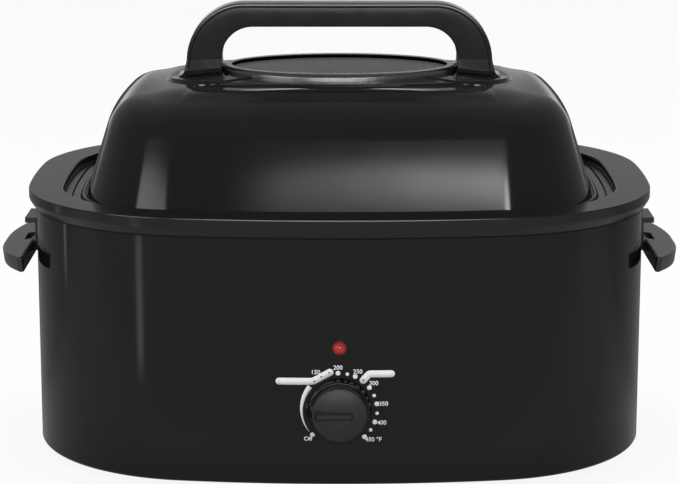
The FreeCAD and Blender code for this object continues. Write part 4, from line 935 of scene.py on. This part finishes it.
def make_knob():
    """The knob: a gloss skirt with its pointer, and a matte crowned cap with a grip ridge.

    A ring of the ridge has ends and a half width evenly between those at its foot and at its crest.
    """
    neck, back = CAP - MM, SKIRT_GAP + 2 * MM
    skirt_path = rounded_path([
        (10 * MM, SKIRT_GAP), (SKIRT, SKIRT_GAP, 0.4 * MM), (SKIRT_TOP, SKIRT_RISE, CAP_BEND),
        (neck, SKIRT_RISE), (neck, back), (10 * MM, back),
    ])
    pointer = rounded_path([
        (POINTER_IN, SKIRT_GAP), (POINTER_IN, 16.4 * MM),
        (POINTER_OUT, 4 * MM, 1.0 * MM), (POINTER_OUT, SKIRT_GAP, 0.4 * MM),
    ], closed=True)[::-1]
    rib = slab_rows(pointer, -POINTER_HALF, POINTER_HALF, 0.5 * MM)
    rib = np.stack([rib[..., 0], -rib[..., 2], rib[..., 1]], -1)
    piece("knob_skirt", "knob", "knob_black", [
        looped(on_front(turned_rows(skirt_path), KNOB_HEIGHT)), capped(on_front(rib, KNOB_HEIGHT)),
    ], ["knob"], skirt_finish)
    cap_path = rounded_path([
        (8 * MM, SKIRT_RISE - 2 * MM), (CAP, SKIRT_RISE - 2 * MM), (CAP, CAP_EDGE, CAP_BEND),
        (CAP / 2, CAP_EDGE + CAP_CROWN, 1.6 * CAP), (0.5 * MM, CAP_EDGE + CAP_CROWN),
    ])
    easing = 1 - 0.18 * (1 - np.sin(np.linspace(0, QUARTER, 7)[1:]))
    ridge = []
    for share in (*np.linspace(0, 0.82, 8), *easing):
        left, right, half = RIDGE_AT_LOW + (RIDGE_AT_HIGH - RIDGE_AT_LOW) * share
        corners = ((left, -half), (right, -half), (right, half), (left, half))
        outline = rounded_path([(x, y, 0.8 * half) for x, y in corners], closed=True, hold=0.0)
        height = RIDGE_LOW + (RIDGE_HIGH - RIDGE_LOW) * share
        ridge.append(np.column_stack([outline, np.full(len(outline), height)]))
    piece("knob_cap", "knob", "knob_black", [
        capped(on_front(rows, KNOB_HEIGHT)) for rows in (turned_rows(cap_path), np.stack(ridge))
    ])


def make_lens():
    """The pilot lens: a low dome, a cap of a ball, on a thin flange, and its stem through the casing."""
    ball = (LENS ** 2 + LENS_RISE ** 2) / (2 * LENS_RISE)
    stem, rim, soft = mm(4.2, 6.4, 0.2)
    profile = [
        (stem, -LENS_STEM), (stem, 0), (rim - soft, 0), (rim, soft),
        (rim, LENS_FLANGE - soft), (rim - soft, LENS_FLANGE),
    ] + [
        (ball * math.sin(turn), LENS_FLANGE + LENS_RISE - ball * (1 - math.cos(turn)))
        for turn in np.linspace(math.asin(LENS / ball), 0.02, 16)
    ]
    rows = on_front(turned_rows(profile, 64), LAMP_HEIGHT)
    piece("lens_cap", "casing", "pilot_red", [capped(rows)], ["pilot_lens"])


# ---- dial

PRINT_PROUD, PRINT_FILM = mm(0.05, 0.06)

# The print's places are in millimetres from the knob's axis, right and up; a third number is a bend.
BIG_DOTS = (
    (-1.2, 30.4), (12.6, 27.6), (24.0, 18.3), (29.9, 4.7), (28.4, -10.4), (20.1, -22.7), (-21.8, -21.0),
)
SMALL_DOTS = ((6.3, 29.6), (27.8, 11.7), (30.2, -3.1), (25.1, -17.0))
FIGURES = (
    ("150", -19.2, 31.0), ("200", -1.2, 34.9), ("250", 14.7, 31.6), ("300", 27.5, 21.9),
    ("350", 35.4, 4.7), ("400", 34.1, -11.1), ("450 °F", 27.4, -25.1), ("Off", -25.4, -24.5),
)
LOW_RANGE = ((-51.4, 23.6, 0), (-21.5, 23.6, 9), (-5.2, 32.6, 0))
MIDDLE_RANGE = ((17.1, 22.4, 0), (23.8, 29.8, 3), (44.5, 29.8, 0))
STOPS = ((-20.3, 23.8), (-14.6, 27.4), (-8.3, 30.8), (19.2, 24.7))
BIG_DOT, SMALL_DOT, STOP_DOT = mm(2.0, 1.45, 0.75)
RANGE_WIDTH, FIGURE_SIZE = mm(5.8, 5.0)
CRESCENT, CRESCENT_START, CRESCENT_TURN = 30.6 * MM, 217.0, 76.0
CRESCENT_THIN, CRESCENT_GROWTH = mm(0.3, 3.9)


def on_casing(flat):
    """Lay flat (x, z) points on the bowed front of the casing, a little proud of it."""
    x, z = flat[..., 0], flat[..., 1]
    return np.stack([x, FRONT_BOW - half_y - np.sqrt(FRONT_BOW ** 2 - x ** 2) - PRINT_PROUD, z], -1)


def ribbon(path, widths):
    """A flat band along a path: its two edges stand half its width to each side."""
    run = np.gradient(path, axis=0)
    run = run / np.hypot(*run.T)[:, None]
    side = np.stack([-run[:, 1], run[:, 0]], 1)
    half = np.broadcast_to(widths, (len(path),))[:, None] / 2
    return grid_shell(on_casing(np.stack([path - side * half, path + side * half], 1)), ring=False)


def capsule(path, width):
    """A band with round ends: its width falls to nothing as a circle does at each end."""
    radius = width / 2
    lengths = np.concatenate([[0], np.cumsum(np.hypot(*np.diff(path, axis=0).T))])
    ends = radius * (1 - np.cos(np.linspace(0, QUARTER, 9)))
    between = np.linspace(radius, lengths[-1] - radius, 40)
    at = np.unique(np.concatenate([ends, between, lengths[-1] - ends]))
    points = np.stack([np.interp(at, lengths, path[:, axis]) for axis in range(2)], 1)
    nearest = np.minimum(np.minimum(at, lengths[-1] - at), radius)
    half = np.sqrt(np.maximum(radius ** 2 - (radius - nearest) ** 2, (0.02 * MM) ** 2))
    return ribbon(points, 2 * half)


def dot(place, radius):
    """A small disc."""
    angles = np.linspace(0, TURN, 24, endpoint=False)
    round_it = radius * np.stack([np.cos(angles), np.sin(angles)], 1)
    return grid_shell(on_casing(place + np.stack([round_it, 0.5 * round_it])), high_cap=True)


def lettering(text, place):
    """Generic figures as a flat mesh, centred on a place on the casing."""
    curve = bpy.data.curves.new("figures", "FONT")
    curve.body = text
    curve.size = FIGURE_SIZE
    curve.offset = 0.022 * FIGURE_SIZE
    curve.align_x = curve.align_y = "CENTER"
    maker = place_object("figures", curve)
    bpy.context.view_layer.update()
    mesh = bpy.data.meshes.new_from_object(maker)
    flat = np.zeros(len(mesh.vertices) * 3)
    mesh.vertices.foreach_get("co", flat)
    faces = [list(face.vertices) for face in mesh.polygons]
    bpy.data.objects.remove(maker)
    bpy.data.curves.remove(curve)
    bpy.data.meshes.remove(mesh)
    return on_casing(flat.reshape(-1, 3)[:, :2] + place), faces


def make_dial():
    """The printed scale: dots, figures, two bands and a crescent, with dark stops on the bands."""
    def placed(x, z):
        """A place of the print as metres on the casing."""
        return np.array((x * MM, KNOB_HEIGHT + z * MM))

    shells = [dot(placed(x, z), BIG_DOT) for x, z in BIG_DOTS]
    shells += [dot(placed(x, z), SMALL_DOT) for x, z in SMALL_DOTS]
    shells += [lettering(text, placed(x, z)) for text, x, z in FIGURES]
    for corners in (LOW_RANGE, MIDDLE_RANGE):
        path = rounded_path([(*placed(x, z), bend * MM) for x, z, bend in corners])
        shells.append(capsule(path, RANGE_WIDTH))
    share = np.linspace(0, 1, 50)
    angles = np.radians(CRESCENT_START - CRESCENT_TURN * np.sin(QUARTER * share))
    arc = placed(0, 0) + CRESCENT * np.stack([np.cos(angles), np.sin(angles)], 1)
    end = np.maximum((share - 0.8) / 0.2, 0)
    width = (CRESCENT_THIN + CRESCENT_GROWTH * np.sin(QUARTER * share)) * np.sqrt(1 - 0.99 * end ** 4)
    shells.append(ribbon(arc, width))
    stops = [dot(placed(x, z), STOP_DOT) for x, z in STOPS]
    stops = [(points - (0, PRINT_FILM, 0), faces) for points, faces in stops]
    for name, finish, printed in (
        ("dial_print", ink_finish, shells), ("dial_stops", SLOT_FINISH["knob_black"], stops),
    ):
        made = piece(name, "casing", "casing_enamel", printed, finish=finish)
        film = made.modifiers.new("film", "SOLIDIFY")
        film.thickness = PRINT_FILM
        film.offset = -1.0


make_casing()
make_base()
make_collar()
make_pan()
make_well()
make_lid()
make_bezel()
make_pane()
make_handle()
make_knob()
make_lens()
make_dial()


# ---- floor, light and camera

FLOOR_HALF, FLOOR_GLOW, FLOOR_GLOW_SHARE, GLOSSY_SHARE = 6.0, 1.07, 0.85, 0.7
# The floor's mirror image: how bright it is at each y.
MIRRORED_FLOOR = (
    (-0.8, 0.5), (-0.5, 0.45), (-0.3, 0.62), (-0.1, 0.42), (0.0, 0.32), (0.1, 0.08), (0.6, 0.02),
)
AMBIENT, GLOSSY_WORLD, HORIZON = 0.6, 0.3, 0.9
HORIZON_LOW, HORIZON_TOP = 0.0, 0.14
HORIZON_SIDE, HORIZON_BACK = 0.72, 0.92
CAMERA_PLACE, CAMERA_DOWN, CAMERA_LENS = (0.0, -1.997, 0.595), 12.1, 123.0


def flat_sheet(name, corners, finish):
    """A four-sided sheet of the set."""
    mesh = bpy.data.meshes.new(name)
    mesh.from_pydata(corners, [], [[0, 1, 2, 3]])
    mesh.uv_layers.new(name="across").data.foreach_set("uv", [0, 0, 1, 0, 1, 1, 0, 1])
    mesh.materials.append(finish.material)
    return place_object(name, mesh)


def make_stage():
    """A plain pale floor that shows white, but keeps a part of its shading, and so its shadows."""
    finish = Finish("pale_floor", Base_Color=(0.5, 0.5, 0.5), Roughness=0.9, Specular_IOR_Level=0.0)
    glossy = finish.ray("Glossy")
    seen = finish.ray("Camera").math("MAXIMUM", finish.ray("Transmission"))
    seen = seen.math("MAXIMUM", GLOSSY_SHARE * glossy)
    tone = finish.ramp(0.5 + 0.5 * finish.axis(1), [(0.5 + 0.5 * y, level) for y, level in MIRRORED_FLOOR])
    lit = Value(finish, finish.shader.outputs["BSDF"])
    finish.glow_over(FLOOR_GLOW_SHARE * seen, lit, finish.mix(glossy, (1.0, 1.0, 1.0), tone), FLOOR_GLOW)
    corners = [(x * FLOOR_HALF, y * FLOOR_HALF, 0.0) for x, y in ((-1, -1), (1, -1), (1, 1), (-1, 1))]
    floor = flat_sheet("floor", corners, finish)


def make_world():
    """A white surround for what is seen, a grey one for light, and a horizon that gloss mirrors."""
    world = bpy.data.worlds.new("studio")
    world.use_nodes = True
    bpy.context.scene.world = world
    sky = Nodes(world.node_tree, "Generated")
    seen = sky.ray("Camera").math("MAXIMUM", sky.ray("Transmission"))
    low = sky.rise(sky.axis(2), HORIZON_TOP, HORIZON_LOW, HORIZON - GLOSSY_WORLD)
    horizon = low * sky.rise(sky.axis(1), HORIZON_SIDE, HORIZON_BACK)
    mirrored = sky.ray("Glossy") * (horizon + GLOSSY_WORLD)
    lit = sky.ray("Diffuse") * AMBIENT
    background = sky.tree.nodes["Background"]
    sky.feed(background.inputs["Color"], (1.0, 1.0, 1.0))
    sky.feed(background.inputs["Strength"], seen.math("MAXIMUM", mirrored.math("MAXIMUM", lit)))


def soft_box(name, place, target, width, height, radiance):
    """A rectangular lamp that faces a target, and lights without being mirrored.

    Its power is pi * area * radiance. What the gloss mirrors comes from the panels.
    """
    lamp = bpy.data.lights.new(name, "AREA")
    lamp.shape = "RECTANGLE"
    lamp.size = width
    lamp.size_y = height
    lamp.energy = math.pi * width * height * radiance
    made = place_object(name, lamp)
    away = np.subtract(place, target)
    distance = np.linalg.norm(away)
    made.location = place
    made.rotation_euler = (math.acos(away[2] / distance), 0.0, math.atan2(away[1], away[0]) + QUARTER)
    made.visible_glossy = False


def panel(name, left, right, heights, levels, fades):
    """A bright upright sheet between two places (x, y), which only gloss mirrors.

    The heights are those of its low left, low right, high right and high left corners, as the object
    sees them. Its brightness follows levels, evenly spaced from left to right, and falls to nothing
    over fades: left, right, low and high shares.
    """
    finish = Finish(name, "UV")
    u, v = finish.axis(0), finish.axis(1)
    top = max(levels)
    shade = finish.ramp(u, [(index / (len(levels) - 1), level / top) for index, level in enumerate(levels)])
    soft = 1.0
    for value, fade in zip((u, 1 - u, v, 1 - v), fades):
        soft = soft * finish.rise(value, 0.0, fade)
    finish.glow_over(soft, finish.node("BsdfTransparent"), shade, top)
    corners = [(*place, height) for place, height in zip((left, right, right, left), heights)]
    made = flat_sheet(name, corners, finish)
    made.visible_camera = made.visible_diffuse = made.visible_shadow = made.visible_transmission = False


PANELS = (
    ("right_panel", (-0.35, -1.2), (0.53, -1.2), (0.635, 0.672, 0.768, 0.75),
     (1.9, 3.0, 4.7, 6.2, 8.6, 12.0, 14.0, 17.0), (0.22, 0.03, 0.84, 0.22)),
    ("end_strip", (0.515, -1.2), (0.635, -1.2), (0.655, 0.655, 0.765, 0.765),
     (20.0, 20.0), (0.15, 0.05, 0.3, 0.25)),
    ("low_panel", (-0.60, -1.2), (0.6, -1.2), (0.33, 0.33, 0.50, 0.50),
     (11.0, 13.0, 13.0, 10.0), (0.2, 0.25, 0.2, 0.2)),
    ("low_left", (-1.215, -0.66), (-0.70, -1.14), (0.33, 0.33, 0.48, 0.48),
     (5.0, 5.0), (0.1, 0.1, 0.2, 0.2)),
    ("left_strip", (-0.354, -0.406), (-0.384, -0.376), (0.0, 0.0, 0.18, 0.18),
     (2.4, 2.4), (0.4, 0.4, 0.25, 0.25)),
    ("upper_strip", (-0.354, -0.406), (-0.384, -0.376), (0.21, 0.21, 0.3, 0.3),
     (5.0, 5.0), (0.4, 0.4, 0.2, 0.2)),
    ("side_strip", (-0.809, 0.034), (-0.799, 0.068), (0.0, 0.0, 0.16, 0.16),
     (1.7, 1.7), (0.4, 0.4, 0.4, 0.1)),
    ("left_panel", (-1.215, -0.66), (-0.666, -1.17), (0.50, 0.50, 0.755, 0.69),
     (5.2, 5.5, 5.0, 4.5, 5.2), (0.06, 0.12, 0.2, 0.3)),
    ("back_panel", (0.32, 1.5), (-0.32, 1.5), (0.80, 0.80, 1.30, 1.30),
     (2.6, 2.8, 2.6), (0.3, 0.3, 0.3, 0.1)),
    ("dark_flag", (0.5, 1.55), (-0.5, 1.55), (1.2, 1.2, 3.2, 3.2),
     (0.08, 0.08), (0.3, 0.3, 0.02, 0.5)),
)


def make_camera():
    """A long lens in front, a little above the lid."""
    data = bpy.data.cameras.new("camera")
    data.lens = CAMERA_LENS
    data.sensor_width = 36.0
    camera = place_object("camera", data)
    camera.location = CAMERA_PLACE
    camera.rotation_euler = (math.radians(90.0 - CAMERA_DOWN), 0.0, 0.0)
    bpy.context.scene.camera = camera


make_stage()
make_world()
soft_box("overhead", (0.0, 0.5, 2.0), (0.0, 0.0, 0.3), 1.2, 0.25, 22.0)
soft_box("front_right", (0.9, -2.2, 1.1), (0.0, 0.0, 0.25), 0.5, 0.5, 16.0)
soft_box("front_left", (-1.6, -1.6, 1.2), (0.0, 0.0, 0.25), 0.4, 0.7, 11.0)
for settings in PANELS:
    panel(*settings)
make_camera()
bpy.context.scene.view_settings.view_transform = "Standard"
